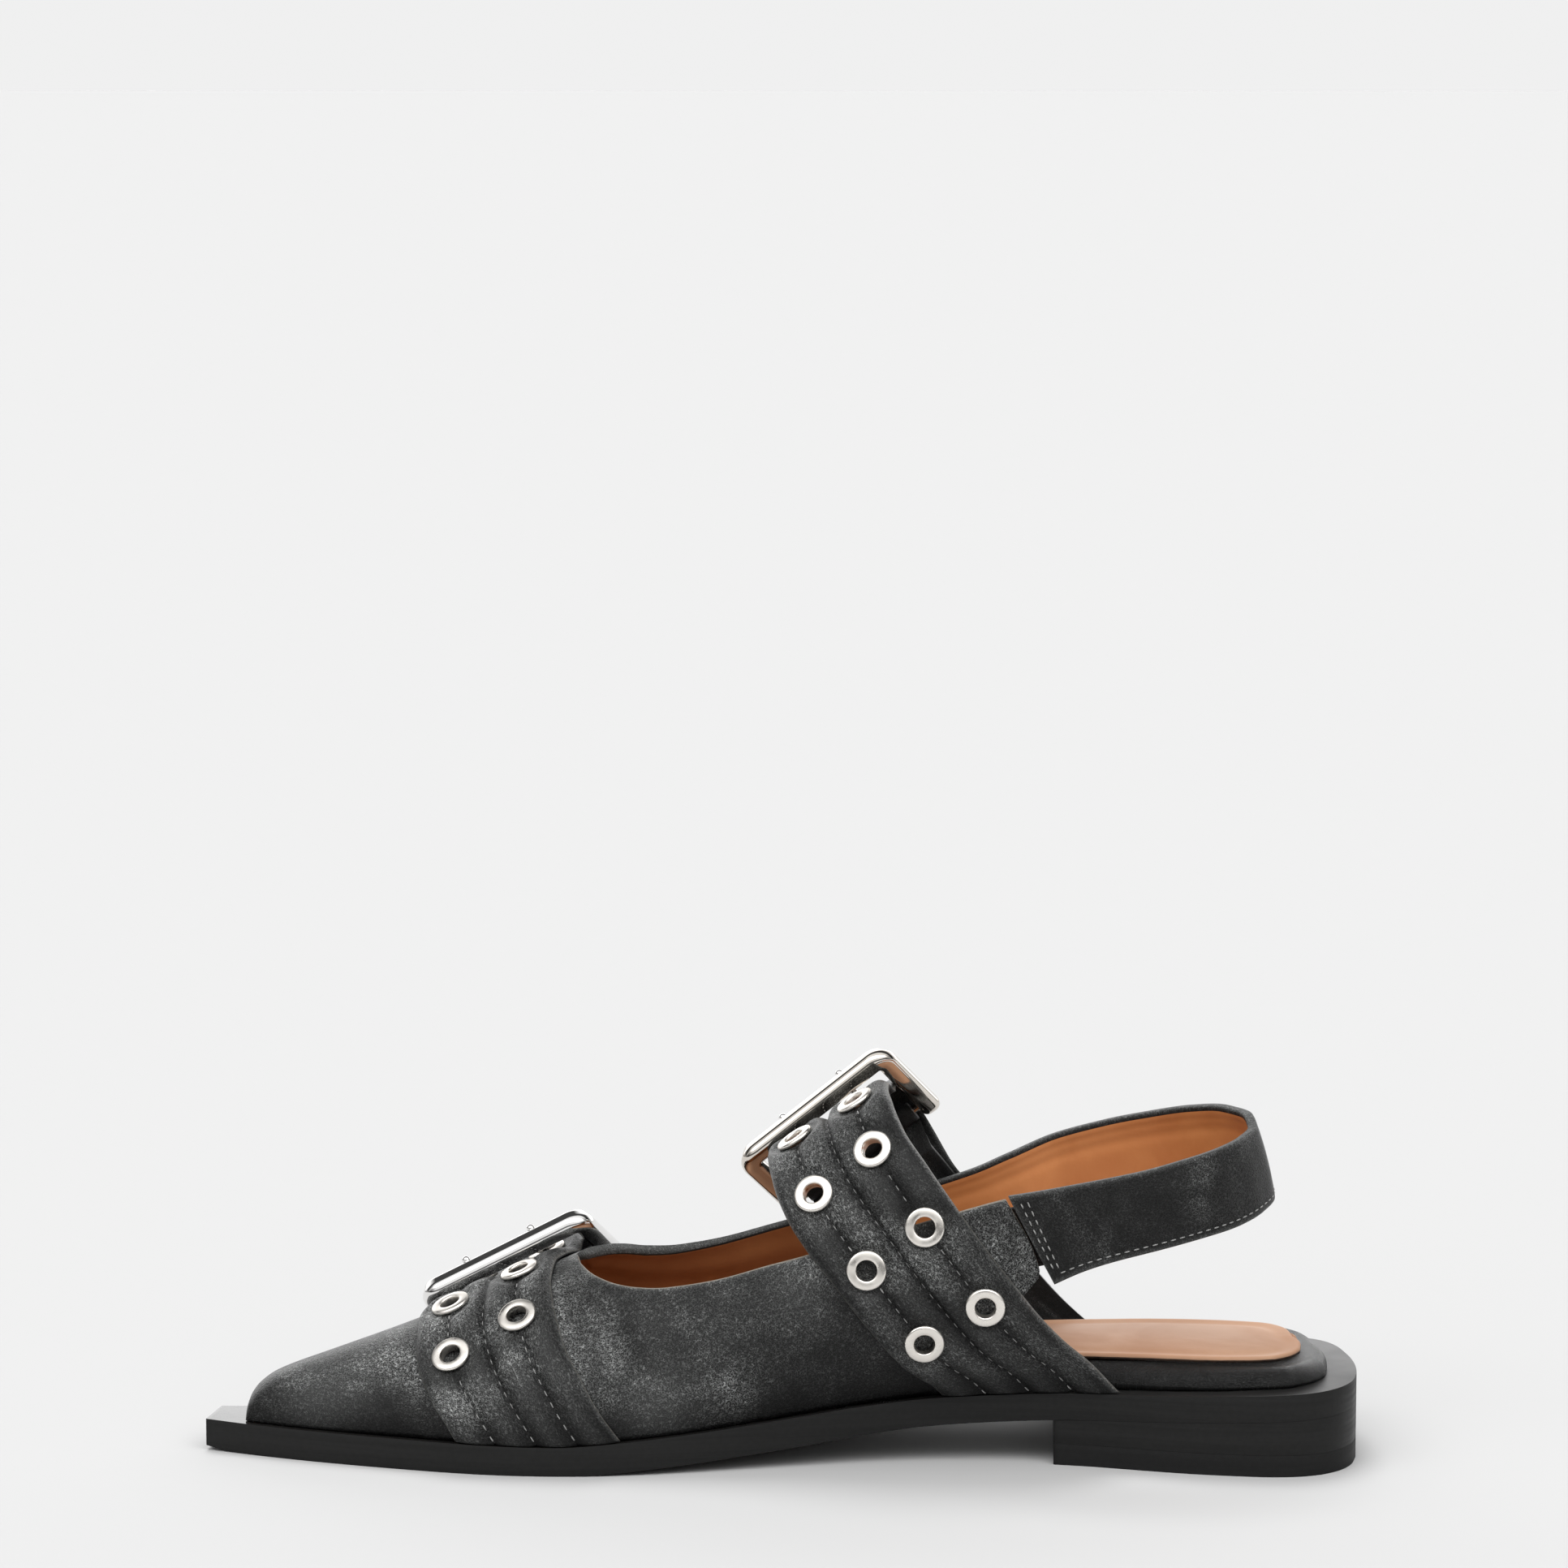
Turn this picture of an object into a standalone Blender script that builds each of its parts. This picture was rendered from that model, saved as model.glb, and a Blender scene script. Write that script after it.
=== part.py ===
"""Right-foot slingback ballet flat with two buckled eyelet straps, built as an assembly of its pieces."""
import math

import bmesh
import bpy
import numpy as np
from mathutils import Vector

# Sizes in millimetres; x runs from the toe tip to the heel, y from the inner side to the outer, z up.
MM = 0.001
ORIGIN_X = 134.35
ORIGIN_Y = 1.25
GAP = 0.3
FEATHER_INSET = 1.6
WALL = 1.8
QUARTER_X = 140.0
HEEL_BREAST_X = 198.0
HEEL_CENTRE = (240.0, -0.6)
LIFT_HEIGHT = 5.0
FOOTBED_INSET = 4.4
FOOTBED_TOE_X = 14.5
FOOTBED_ROUND = 2.6
SOCK_THICK = 1.2
STRAP_GAP = 0.45
STRAP_EDGE = 1.4
STRAP_VALLEY = 1.8
STRAP_CROWN = 2.7
STRAP_FOOT = 1.2
EYELET_ROW = 0.25
EYELET_OUTER = 4.4
EYELET_HOLE = 2.35
EYELET_BARREL = 2.85
EYELET_FLANGE = 0.8
PAIR_PITCH = 20.0
BUCKLE_STRAP_THICK = 2.0
FRAME_RUN = 20.5
FRAME_HALF = 20.6
FRAME_BAR = 4.0
FRAME_TALL = 4.6
FRAME_CORNER = 3.4
ROD_RADIUS = 1.1
PRONG_RADIUS = 0.85
FOLD_WALL = 1.1
SLING_THICK = 2.2
GORE_THICK = 1.2
ROD_CLEAR = ROD_RADIUS + GAP + 2 * PRONG_RADIUS
FRAME_ROLL = {"toe": 0.0, "instep": 8.0}
FRAME_YAW = {"toe": 0.0, "instep": -7.0}
FRAME_ASIDE = {"toe": 1.0, "instep": -0.3}
PRESS = 0.34


def monotone(xs, ys):
    """A smooth curve through the points that does not overshoot between them."""
    xs, ys = np.asarray(xs, float), np.asarray(ys, float)
    steps = np.diff(xs)
    slopes = np.diff(ys) / steps
    ends = np.concatenate([[slopes[0]], np.zeros(len(xs) - 2), [slopes[-1]]])
    for i in range(1, len(xs) - 1):
        if slopes[i - 1] * slopes[i] > 0:
            before = 2 * steps[i] + steps[i - 1]
            after = steps[i] + 2 * steps[i - 1]
            ends[i] = (before + after) / (before / slopes[i - 1] + after / slopes[i])

    def at(x):
        x = min(max(x, xs[0]), xs[-1])
        i = min(int(np.searchsorted(xs, x, side="right")) - 1, len(xs) - 2)
        u = (x - xs[i]) / steps[i]
        rise = (1 + 2 * u) * (1 - u) ** 2 * ys[i] + u * u * (3 - 2 * u) * ys[i + 1]
        return float(rise + steps[i] * (u * (1 - u) ** 2 * ends[i] + u * u * (u - 1) * ends[i + 1]))
    return at


def table(columns, rows):
    """One smooth function of the first column for each of the other named columns."""
    data = np.array(rows, float)
    return {name: monotone(data[:, 0], data[:, i + 1]) for i, name in enumerate(columns)}


# Sole seen from the side: x, then the heights of its top and bottom.
PROFILE = table(("top", "bottom"), [
    (0, 7.5, 1.3), (6, 7.3, 0.3), (14, 7.2, 0.0), (45, 7.1, 0.0), (84, 6.7, 0.0), (94, 7.3, 0.35),
    (109, 8.6, 1.6), (124, 10.1, 3.1), (139, 11.9, 4.9), (153, 13.7, 6.9), (170, 15.4, 8.9),
    (189, 16.4, 10.1), (198, 16.8, 10.5), (217, 17.6, 11.4), (247, 19.0, 12.8), (270, 19.8, 13.6)])

# Sole seen from above: x, then y of the near (inner) and far (outer) edge.
SOLE = table(("near", "far"), [
    (0, -15.5, -3.2), (10, -19.4, -2.0), (20, -23.2, 3.5), (30, -26.6, 10.5), (40, -29.6, 17.5),
    (50, -32.3, 24.0), (60, -34.7, 29.5), (70, -36.4, 34.0), (80, -37.1, 37.2), (90, -36.9, 39.2),
    (100, -35.8, 40.0), (110, -34.0, 39.6), (124, -30.4, 37.6), (139, -26.6, 34.6), (153, -23.5, 32.0),
    (170, -21.1, 29.7), (185, -20.6, 28.7), (198, -20.9, 28.5), (210, -23.4, 28.8), (222, -26.5, 29.3),
    (235, -29.2, 29.6), (247, -30.4, 29.4)])
SOLE_STATIONS = (5, 10, 15, 21, 28, 35, 42, 50, 58, 66, 74, 82, 90, 98, 106, 115, 124, 133, 142, 151, 160,
                 172, 185, 198, 206, 214, 222, 230, 238, 247)

# Rounded back of the heel: near x, near y, far x, far y.
HEEL_BACK = [
    (253.0, -29.9, 252.5, 28.9), (258.0, -28.2, 257.0, 27.4), (262.0, -25.3, 260.6, 24.9),
    (265.0, -21.4, 263.4, 21.3), (267.0, -16.6, 265.4, 16.4), (268.1, -10.5, 266.9, 9.5)]

# Footbed: x and its thickness over the sole.
FOOTBED = table(("thick",), [
    (14, 2.6), (60, 3.0), (110, 3.6), (150, 5.0), (190, 6.0), (215, 5.8), (245, 4.6), (265, 3.9)])

# Sock: x and how far its edge stays inside the sole's edge.
SOCK = table(("inset",), [(16, 6.4), (170, 6.4), (205, 7.6), (222, 8.8), (245, 10.2), (262, 11.8)])

# Last seen in cross-sections: x, ridge position and height, height of the wall's pull, how far the
# wall bellies out on each side and how broad each shoulder is.
LAST = table(("ridge_y", "ridge_z", "lift", "near_belly", "far_belly", "near_shoulder", "far_shoulder"), [
    (10.0, -10.0, 7.5, 0.60, 0.0, 0.0, 6.0, 6.0),
    (10.3, -10.0, 11.0, 0.60, 0.2, 0.2, 7.0, 7.0),
    (11.4, -10.0, 13.4, 0.60, 0.4, 0.4, 7.0, 7.5),
    (13.3, -10.0, 15.4, 0.58, 0.6, 0.6, 7.5, 8.0),
    (16.2, -10.0, 17.4, 0.56, 0.8, 0.8, 8.0, 8.5),
    (20.0, -9.6, 19.0, 0.55, 1.0, 1.0, 8.5, 9.5),
    (28.0, -8.4, 21.7, 0.52, 1.2, 1.2, 9.5, 11.0),
    (42.0, -6.0, 26.4, 0.48, 1.5, 1.5, 11.0, 13.0),
    (56.0, -4.0, 31.6, 0.45, 1.8, 1.8, 12.0, 14.0),
    (70.0, -2.8, 37.6, 0.43, 2.0, 2.0, 14.0, 15.0),
    (86.0, -1.6, 44.2, 0.43, 2.5, 2.0, 16.0, 17.0),
    (109.0, -1.0, 55.0, 0.43, 4.0, 1.0, 19.0, 18.0),
    (131.0, -1.0, 66.0, 0.42, 9.0, 1.0, 22.0, 20.0),
    (145.0, -1.0, 75.0, 0.40, 12.0, 2.0, 22.0, 20.0),
    (160.0, -1.0, 84.5, 0.38, 15.0, 3.0, 22.0, 20.0),
    (185.0, -1.0, 98.0, 0.36, 17.0, 4.0, 22.0, 20.0),
    (220.0, -1.0, 106.0, 0.34, 12.0, 4.0, 22.0, 20.0)])

# Topline of the upper: x and how far up the half-section the upper reaches; 1 is over the ridge.
TOPLINE = table(("near", "far"), [
    (86.4, 1.0, 1.0), (87.2, 0.95, 0.95), (88.5, 0.89, 0.89), (90.5, 0.825, 0.825), (92.8, 0.772, 0.772),
    (96.5, 0.693, 0.693), (101, 0.612, 0.612), (109, 0.538, 0.538), (120, 0.5, 0.5), (131, 0.487, 0.487),
    (140, 0.471, 0.472), (160, 0.448, 0.455), (177, 0.436, 0.452), (196, 0.44, 0.47)])
UPPER_ROWS = (10.0, 10.12, 10.5, 11.4, 13.3, 16.2, 20, 26, 33, 41, 49, 57, 65, 73, 80, 86.4, 87.3, 88.8,
              91, 94, 98, 103, 110, 120, 130, 140)
UPPER_COLUMNS = 7
QUARTER_STEPS = 5

# Rear edge of both quarters: share of the way up to the topline and x.
QUARTER_REAR = table(("x",), [
    (0.0, 184.0), (0.3, 184.5), (0.44, 187.0), (0.55, 192.0), (0.62, 194.2), (0.7, 193.0), (1.0, 184.6)])

# Straps as rungs on the last: front x, front place round the section, rear x, rear place.
# The place is -1 at the near sole edge, 0 on the ridge and 1 at the far sole edge.
STRAPS = {
    "toe": [
        (60.9, -1.0, 98.8, -1.0), (58.3, -0.88, 93.4, -0.85), (56.1, -0.80, 89.4, -0.71),
        (54.2, -0.70, 85.8, -0.575), (52.1, -0.58, 82.2, -0.33), (50.6, -0.40, 81.4, -0.20),
        (50.3, -0.17, 81.8, -0.02), (53.0, 0.08, 85.0, 0.12), (55.6, 0.30, 87.4, 0.24),
        (57.6, 0.50, 89.6, 0.38), (59.6, 0.66, 92.2, 0.54), (61.6, 0.80, 95.2, 0.70),
        (63.6, 0.91, 98.6, 0.85), (65.6, 1.0, 102.6, 1.0)],
    "instep": [
        (172.6, -1.0, 213.4, -1.0), (169.6, -0.96, 206.8, -0.923), (166.6, -0.934, 200.1, -0.865),
        (163.7, -0.906, 194.4, -0.805), (161.0, -0.869, 189.2, -0.74), (154.4, -0.764, 181.9, -0.645),
        (148.3, -0.654, 175.1, -0.538), (141.1, -0.511, 169.0, -0.422), (136.5, -0.38, 163.4, -0.284),
        (133.4, -0.224, 160.8, -0.16), (131.8, -0.03, 159.6, -0.04), (132.0, 0.12, 159.8, 0.08),
        (133.4, 0.28, 161.0, 0.20), (136.5, 0.42, 163.6, 0.32), (141.1, 0.55, 168.0, 0.44),
        (148.0, 0.68, 174.5, 0.56), (154.4, 0.78, 181.5, 0.66), (161.0, 0.875, 189.0, 0.755),
        (166.6, 0.94, 199.5, 0.875), (172.0, 1.0, 213.0, 1.0)]}
# Rungs that carry the visible eyelet pairs, and the run from the last of them to the frame's near bar.
EYELET_RUNGS = {"toe": (4, 6), "instep": (4, 6, 8, 10)}
NEAR_BAR_RUN = {"toe": 12.5, "instep": 12.0}
# Runs past the frame's rod: the tail's own eyelet pairs and its tip.
TAIL_PAIRS = {"toe": (9.5,), "instep": (9.5, 27.0)}
TAIL_RUN = {"toe": 17.0, "instep": 37.0}

# Slingback from the far quarter round the heel to the near side: its top edge and its bottom edge.
SLING = [
    (179.0, 20.4, 61.5, 184.0, 21.8, 44.0), (187.0, 21.2, 65.0, 192.0, 22.6, 46.6),
    (198.0, 24.8, 69.2, 202.0, 25.8, 50.2), (210.0, 25.6, 72.4, 214.0, 26.8, 53.2),
    (221.0, 23.8, 75.0, 226.0, 25.2, 56.0), (231.0, 19.0, 77.4, 236.0, 20.4, 58.4),
    (238.6, 12.0, 78.7, 243.6, 13.0, 60.4), (243.6, 4.0, 78.6, 248.4, 4.6, 60.8),
    (244.6, -3.5, 77.0, 249.2, -3.2, 59.4), (241.8, -10.6, 75.6, 246.4, -10.8, 57.8),
    (236.6, -17.0, 74.2, 241.0, -17.6, 56.0), (228.6, -22.8, 72.5, 232.6, -23.6, 54.3),
    (217.6, -26.4, 70.0, 221.4, -27.2, 51.8), (206.0, -27.4, 67.7, 210.4, -28.2, 49.0),
    (196.0, -27.2, 65.7, 203.6, -28.2, 46.6), (187.2, -26.6, 64.0, 197.9, -27.6, 43.8)]
GORE = [
    (180.0, -22.6, 58.6, 187.0, -22.6, 45.6), (187.0, -22.9, 60.4, 195.0, -23.0, 47.2),
    (194.0, -23.9, 62.0, 201.0, -24.4, 49.0), (202.0, -24.4, 63.4, 208.0, -25.2, 51.0)]


def feather(x, side):
    """y where the upper meets the sole; the toe's front is square across with turned corners."""
    inward = FEATHER_INSET if side == "near" else -FEATHER_INSET
    edge = SOLE[side](x) + inward
    if x >= 12:
        return edge
    middle = LAST["ridge_y"](x)
    return middle + (edge - middle) * (1 - 0.12 * ((12 - x) / 2.0) ** 2)


def last_point(x, place):
    """Point of the last's surface at x; place is -1 near sole edge, 0 ridge, 1 far sole edge."""
    side, sign = ("near", -1) if place < 0 else ("far", 1)
    q = 1 - abs(place)
    base = PROFILE["top"](x) + GAP
    crown = max(LAST["ridge_z"](x), base)
    middle = LAST["ridge_y"](x)
    foot = feather(x, side)
    belly = foot + sign * LAST[side + "_belly"](x)
    shoulder = middle + sign * LAST[side + "_shoulder"](x)
    pull = base + LAST["lift"](x) * (crown - base)
    weights = ((1 - q) ** 3, 3 * (1 - q) ** 2 * q, 3 * (1 - q) * q * q, q ** 3)
    y = sum(w * v for w, v in zip(weights, (foot, belly, shoulder, middle)))
    z = sum(w * v for w, v in zip(weights, (base, pull, crown, crown)))
    return np.array([x, y, z])


def unit(v):
    return v / np.linalg.norm(v)


def last_normal(x, place):
    along = last_point(x + 0.1, place) - last_point(x - 0.1, place)
    low, high = max(place - 0.005, -1.0), min(place + 0.005, 1.0)
    return unit(np.cross(along, last_point(x, high) - last_point(x, low)))


def to_frame(p):
    return Vector(((p[0] - ORIGIN_X) * MM, (p[1] - ORIGIN_Y) * MM, p[2] * MM))


def clear_scene():
    for item in list(bpy.data.objects):
        bpy.data.objects.remove(item, do_unlink=True)
    for group in list(bpy.data.collections):
        bpy.data.collections.remove(group)


def material(name, colour, rough, metal=0.0):
    made = bpy.data.materials.new(name)
    made.use_nodes = True
    shader = made.node_tree.nodes["Principled BSDF"]
    shader.inputs["Base Color"].default_value = (*colour, 1.0)
    shader.inputs["Roughness"].default_value = rough
    shader.inputs["Metallic"].default_value = metal
    made.diffuse_color = (*colour, 1.0)
    return made


def add_object(name, mesh, look, group, smooth=True):
    made = bpy.data.objects.new(name, mesh)
    group.objects.link(made)
    mesh.materials.clear()
    mesh.materials.append(look)
    mesh.polygons.foreach_set("use_smooth", [smooth] * len(mesh.polygons))
    return made


def mesh_from(name, points, faces):
    """Closed mesh from points in shoe millimetres, its faces turned outward."""
    body = bmesh.new()
    corners = [body.verts.new(to_frame(p)) for p in points]
    for face in faces:
        body.faces.new([corners[i] for i in face])
    bmesh.ops.recalc_face_normals(body, faces=body.faces)
    made = bpy.data.meshes.new(name)
    body.to_mesh(made)
    body.free()
    return made


def loft(name, rings):
    """Closed skin over rings of equal count, capped at both ends."""
    count = len(rings[0])
    points = [p for ring in rings for p in ring]
    faces = [tuple(range(count)), tuple(range(len(points) - count, len(points)))]
    for r in range(len(rings) - 1):
        for i in range(count):
            j = (i + 1) % count
            faces.append((r * count + i, r * count + j, (r + 1) * count + j, (r + 1) * count + i))
    return mesh_from(name, points, faces)


def rungs(start, inset):
    """Near and far edge points of the sole from x = start to the heel's back, moved inward by inset."""
    made = []
    stations = [start] + [x for x in SOLE_STATIONS if x > start + 2]
    for x in stations:
        step = inset(x)
        made.append(((x, SOLE["near"](x) + step), (x, SOLE["far"](x) - step)))
    for near_x, near_y, far_x, far_y in HEEL_BACK:
        pair = []
        for x, y in ((near_x, near_y), (far_x, far_y)):
            away = np.array([x - HEEL_CENTRE[0], y - HEEL_CENTRE[1]])
            x, y = np.array([x, y]) - unit(away) * inset(x) * 1.04
            pair.append((x, y))
        made.append(tuple(pair))
    return made


def plate(name, ladder, low, high, rounding=0.0):
    """Solid between the heights low(x) and high(x) over a ladder of near and far edge points."""
    rings = []
    for (nx, ny), (fx, fy) in ladder:
        rings.append([(nx, ny, low(nx)), (fx, fy, low(fx)), (fx, fy, high(fx)), (nx, ny, high(nx))])
    made = loft(name, rings)
    if rounding:
        body = bmesh.new()
        body.from_mesh(made)
        body.verts.ensure_lookup_table()
        tops = {4 * r + c for r in range(len(rings)) for c in (2, 3)}
        last_ring = 4 * (len(rings) - 1)
        chosen = []
        for edge in body.edges:
            a, b = sorted(v.index for v in edge.verts)
            same_side = b - a == 4
            end = b - a == 1 and (a == 2 or a == last_ring + 2)
            if a in tops and b in tops and (same_side or end):
                chosen.append(edge)
        bmesh.ops.bevel(body, geom=chosen, offset=rounding * MM, segments=2, profile=0.5,
                        affect="EDGES", material=-1, clamp_overlap=True)
        body.to_mesh(made)
        body.free()
    return made


def build_sole(look, group):
    ladder = rungs(1.2, lambda x: 0.0)
    (near, far) = ladder[0]
    ladder[0] = ((0.6, near[1]), (2.4, far[1]))
    made = plate("outsole", ladder, PROFILE["bottom"], PROFILE["top"])
    add_object("outsole", made, look["sole"], group, smooth=False)
    heel = rungs(HEEL_BREAST_X, lambda x: 0.0)
    block = plate("heel_block", heel, lambda x: LIFT_HEIGHT + GAP, lambda x: PROFILE["bottom"](x) - GAP)
    add_object("heel_block", block, look["heel"], group, smooth=False)
    lift = plate("top_lift", heel, lambda x: 0.0, lambda x: LIFT_HEIGHT)
    add_object("top_lift", lift, look["lift"], group, smooth=False)


def footbed_top(x):
    return PROFILE["top"](x) + GAP + FOOTBED["thick"](x)


def build_footbed(look, group):
    ladder = rungs(FOOTBED_TOE_X, lambda x: FOOTBED_INSET)
    made = plate("footbed", ladder, lambda x: PROFILE["top"](x) + GAP, footbed_top, FOOTBED_ROUND)
    add_object("footbed", made, look["footbed"], group)
    ladder = rungs(FOOTBED_TOE_X + 3, lambda x: SOCK["inset"](x))
    made = plate("sock_lining", ladder, lambda x: footbed_top(x) + GAP,
                 lambda x: footbed_top(x) + GAP + SOCK_THICK)
    add_object("sock_lining", made, look["sock"], group)


def build_upper(look, group):
    """Open skin of the last up to the topline, then Solidify inward for the leather's thickness."""
    body = bmesh.new()
    rows = [[x] * (UPPER_COLUMNS + 1) for x in UPPER_ROWS]
    for step in range(1, QUARTER_STEPS + 1):
        ends = [QUARTER_REAR["x"](v / UPPER_COLUMNS) for v in range(UPPER_COLUMNS + 1)]
        rows.append([QUARTER_X + (end - QUARTER_X) * step / QUARTER_STEPS for end in ends])
    ridge = []
    for side, sign in (("near", -1), ("far", 1)):
        grid = []
        for number, row in enumerate(rows):
            line = []
            for v, x in enumerate(row):
                reach = TOPLINE[side](x) * v / UPPER_COLUMNS
                if reach > 0.9999 and side == "far":
                    line.append(ridge[number])
                else:
                    line.append(body.verts.new(to_frame(last_point(x, sign * (1 - reach)))))
            grid.append(line)
            if side == "near":
                ridge.append(line[-1])
        for a, b in zip(grid[:-1], grid[1:]):
            for v in range(UPPER_COLUMNS):
                body.faces.new((a[v], b[v], b[v + 1], a[v + 1]))
    bmesh.ops.recalc_face_normals(body, faces=body.faces)
    middle = min(body.faces, key=lambda f: (f.calc_center_median() - to_frame((60, -28, 16))).length)
    if middle.normal.y > 0:
        bmesh.ops.reverse_faces(body, faces=body.faces)
    made = bpy.data.meshes.new("upper")
    body.to_mesh(made)
    body.free()
    item = add_object("upper", made, look["upper"], group)
    shell = item.modifiers.new("wall", "SOLIDIFY")
    shell.thickness = WALL * MM
    shell.offset = -1.0
    shell.use_even_offset = True
    shell.use_rim = True


class Strap:
    """One strap laid on the last: k counts rungs from the near sole, w runs 0 front to 1 rear."""

    def __init__(self, name):
        self.name = name
        rows = STRAPS[name]
        order = range(len(rows))
        self.columns = [monotone(order, [row[i] for row in rows]) for i in range(4)]
        self.end = len(rows) - 1
        self.ks = np.linspace(0, self.end, 60 * self.end + 1)
        path = np.array([last_point(*self.place(k, 0.5)) for k in self.ks])
        self.arcs = np.concatenate([[0], np.cumsum(np.linalg.norm(np.diff(path, axis=0), axis=1))])
        rung_arcs = [self.arc(k) for k in EYELET_RUNGS[name]]
        self.near_bar = rung_arcs[-1] + NEAR_BAR_RUN[name]
        self.far_bar = self.near_bar + FRAME_RUN
        self.prong_pair = rung_arcs[-1] + PAIR_PITCH
        self.pairs = rung_arcs + [self.prong_pair] + [self.far_bar + run for run in TAIL_PAIRS[name]]
        self.tip = self.far_bar + TAIL_RUN[name]
        under = 2 * PRONG_RADIUS + 4 * GAP
        rest = 2 * GAP + BUCKLE_STRAP_THICK + STRAP_GAP
        self.low = monotone(
            (0, self.near_bar + 1.5, self.near_bar + 9, self.far_bar, self.far_bar + 15, self.far_bar + 80),
            (STRAP_GAP, STRAP_GAP, under, under, rest, rest))
        self.bump = monotone(
            (0, self.near_bar + 6, self.far_bar - 4, self.far_bar + 2, self.far_bar + 15, self.far_bar + 80),
            (0, 0, 1, 1, 0, 0))
        self.hump = None
        self.body = monotone((0, 14, 30), (STRAP_FOOT, 0.85 * STRAP_CROWN, STRAP_CROWN))

    def place(self, k, w):
        front_x, front_t, rear_x, rear_t = (column(k) for column in self.columns)
        return front_x + (rear_x - front_x) * w, front_t + (rear_t - front_t) * w

    def arc(self, k):
        return float(np.interp(k, self.ks, self.arcs))

    def rung(self, s):
        return float(np.interp(s, self.arcs, self.ks))

    def base(self, s, w, level):
        """Point at a height over the last's surface."""
        x, place = self.place(self.rung(s), w)
        made = last_point(x, place) + last_normal(x, place) * level
        made[2] = max(made[2], PROFILE["top"](made[0]) + GAP)
        return made

    def lift(self, s, w):
        """Height of the underside: on the upper, over the frame's rod, then on the buckle strap."""
        low = self.low(s)
        return low if self.hump is None else low + self.bump(s) * (self.hump(w) - low)

    def rise_over(self, buckle):
        """Sets how high the strap has to rise at each place across to clear the rod and the prongs' eyes."""
        shares = (0.0, 0.25, 0.5, 0.75, 1.0)
        needs = []
        for w in shares:
            foot = self.base(self.far_bar, w, 0.0)
            over = buckle.rod + buckle.w * np.dot(foot - buckle.rod, buckle.w)
            needs.append(float(np.dot(over - foot, self.out(self.far_bar, w))) + ROD_CLEAR + GAP)
        self.hump = monotone(shares, needs)

    def out(self, s, w):
        return last_normal(*self.place(self.rung(s), w))

    def point(self, s, w, level=0.0):
        """Point at a height over the strap's own underside."""
        return self.base(s, w, self.lift(s, w) + level)

    def axes(self, s, w, level=0.0):
        """Unit vectors along the strap, across it and out of it."""
        along = unit(self.point(s + 0.4, w, level) - self.point(s - 0.4, w, level))
        across = self.point(s, w + 0.01, level) - self.point(s, w - 0.01, level)
        out = unit(np.cross(across, along))
        return along, unit(np.cross(along, out)), out

    def thickness(self, s, w):
        """Four padded channels between the two edges and three stitch lines, pressed under the near bar."""
        swell = abs(math.sin(4 * math.pi * w)) ** 0.7
        valley = STRAP_EDGE if w < 0.06 or w > 0.94 else STRAP_VALLEY
        share = self.body(s) / STRAP_CROWN
        share *= 1 - PRESS * math.exp(-((s - self.near_bar) / 5.0) ** 2)
        return (valley + (STRAP_CROWN - valley) * swell) * share


def strap_stations(first, last, step):
    count = max(2, int(round(abs(last - first) / step)))
    return [first + (last - first) * i / count for i in range(count + 1)]


def build_eyelet_strap(strap, look, group, cutters):
    tops = (0, 0.035, 0.125, 0.25, 0.375, 0.5, 0.625, 0.75, 0.875, 0.965, 1)
    lows = (1, 0.75, 0.5, 0.25, 0)
    rings = []
    stations = strap_stations(0.0, strap.near_bar - 4, 6.0)[:-1]
    stations += strap_stations(strap.near_bar - 4, strap.far_bar + 12, 3.5)[:-1]
    stations += strap_stations(strap.far_bar + 12, strap.tip, 5.0)
    for s in stations:
        past = (s - (strap.tip - 9.0)) / 9.4
        spread = math.sqrt(1 - past * past) if past > 0 else 1.0
        narrow = 0.5 - 0.5 * (0.45 + 0.55 * spread)

        def inside(w):
            return narrow + w * (1 - 2 * narrow)
        ring = [strap.point(s, inside(w), strap.thickness(s, w)) for w in tops]
        ring += [strap.point(s, inside(w)) for w in lows]
        rings.append(ring)
    name = strap.name + "_strap"
    item = add_object(name, loft(name, rings), look["strap"], group)
    tool = eyelet_cutter(strap, cutters)
    cut = item.modifiers.new("eyelet seats", "BOOLEAN")
    cut.operation = "DIFFERENCE"
    cut.solver = "EXACT"
    cut.object = tool


def turned(profile, origin, along, across, out, sides):
    """Rings of a turned shape: profile rows are radius and height along the axis out."""
    rings = []
    for radius, height in profile:
        ring = []
        for i in range(sides):
            turn = 2 * math.pi * i / sides
            ring.append(origin + out * height + radius * (along * math.cos(turn) + across * math.sin(turn)))
        rings.append(ring)
    return rings


def eyelet_places(strap):
    for number, s in enumerate(strap.pairs):
        for end, w in (("front", EYELET_ROW), ("rear", 1 - EYELET_ROW)):
            along, across, out = strap.axes(s, w, STRAP_VALLEY)
            yield number + 1, end, strap.point(s, w, STRAP_VALLEY - 0.3), along, across, out


def eyelet_cutter(strap, cutters):
    """Stepped cutters: a hole for the barrel and a flat seat for the flange."""
    body = bmesh.new()
    for number, end, seat, along, across, out in eyelet_places(strap):
        hole = (EYELET_BARREL + 0.15) / math.cos(math.pi / 8)
        wide = (EYELET_OUTER + 0.15) / math.cos(math.pi / 8)
        rings = turned([(hole, -4.5), (hole, 0.0), (wide, 0.0), (wide, 4.0)], seat, along, across, out, 8)
        made = loft("seat", rings)
        body.from_mesh(made)
        bpy.data.meshes.remove(made)
    joined = bpy.data.meshes.new(strap.name + "_eyelet_cutter")
    body.to_mesh(joined)
    body.free()
    tool = bpy.data.objects.new(strap.name + "_eyelet_cutter", joined)
    cutters.objects.link(tool)
    tool.hide_render = True
    tool.display_type = "WIRE"
    return tool


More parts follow.
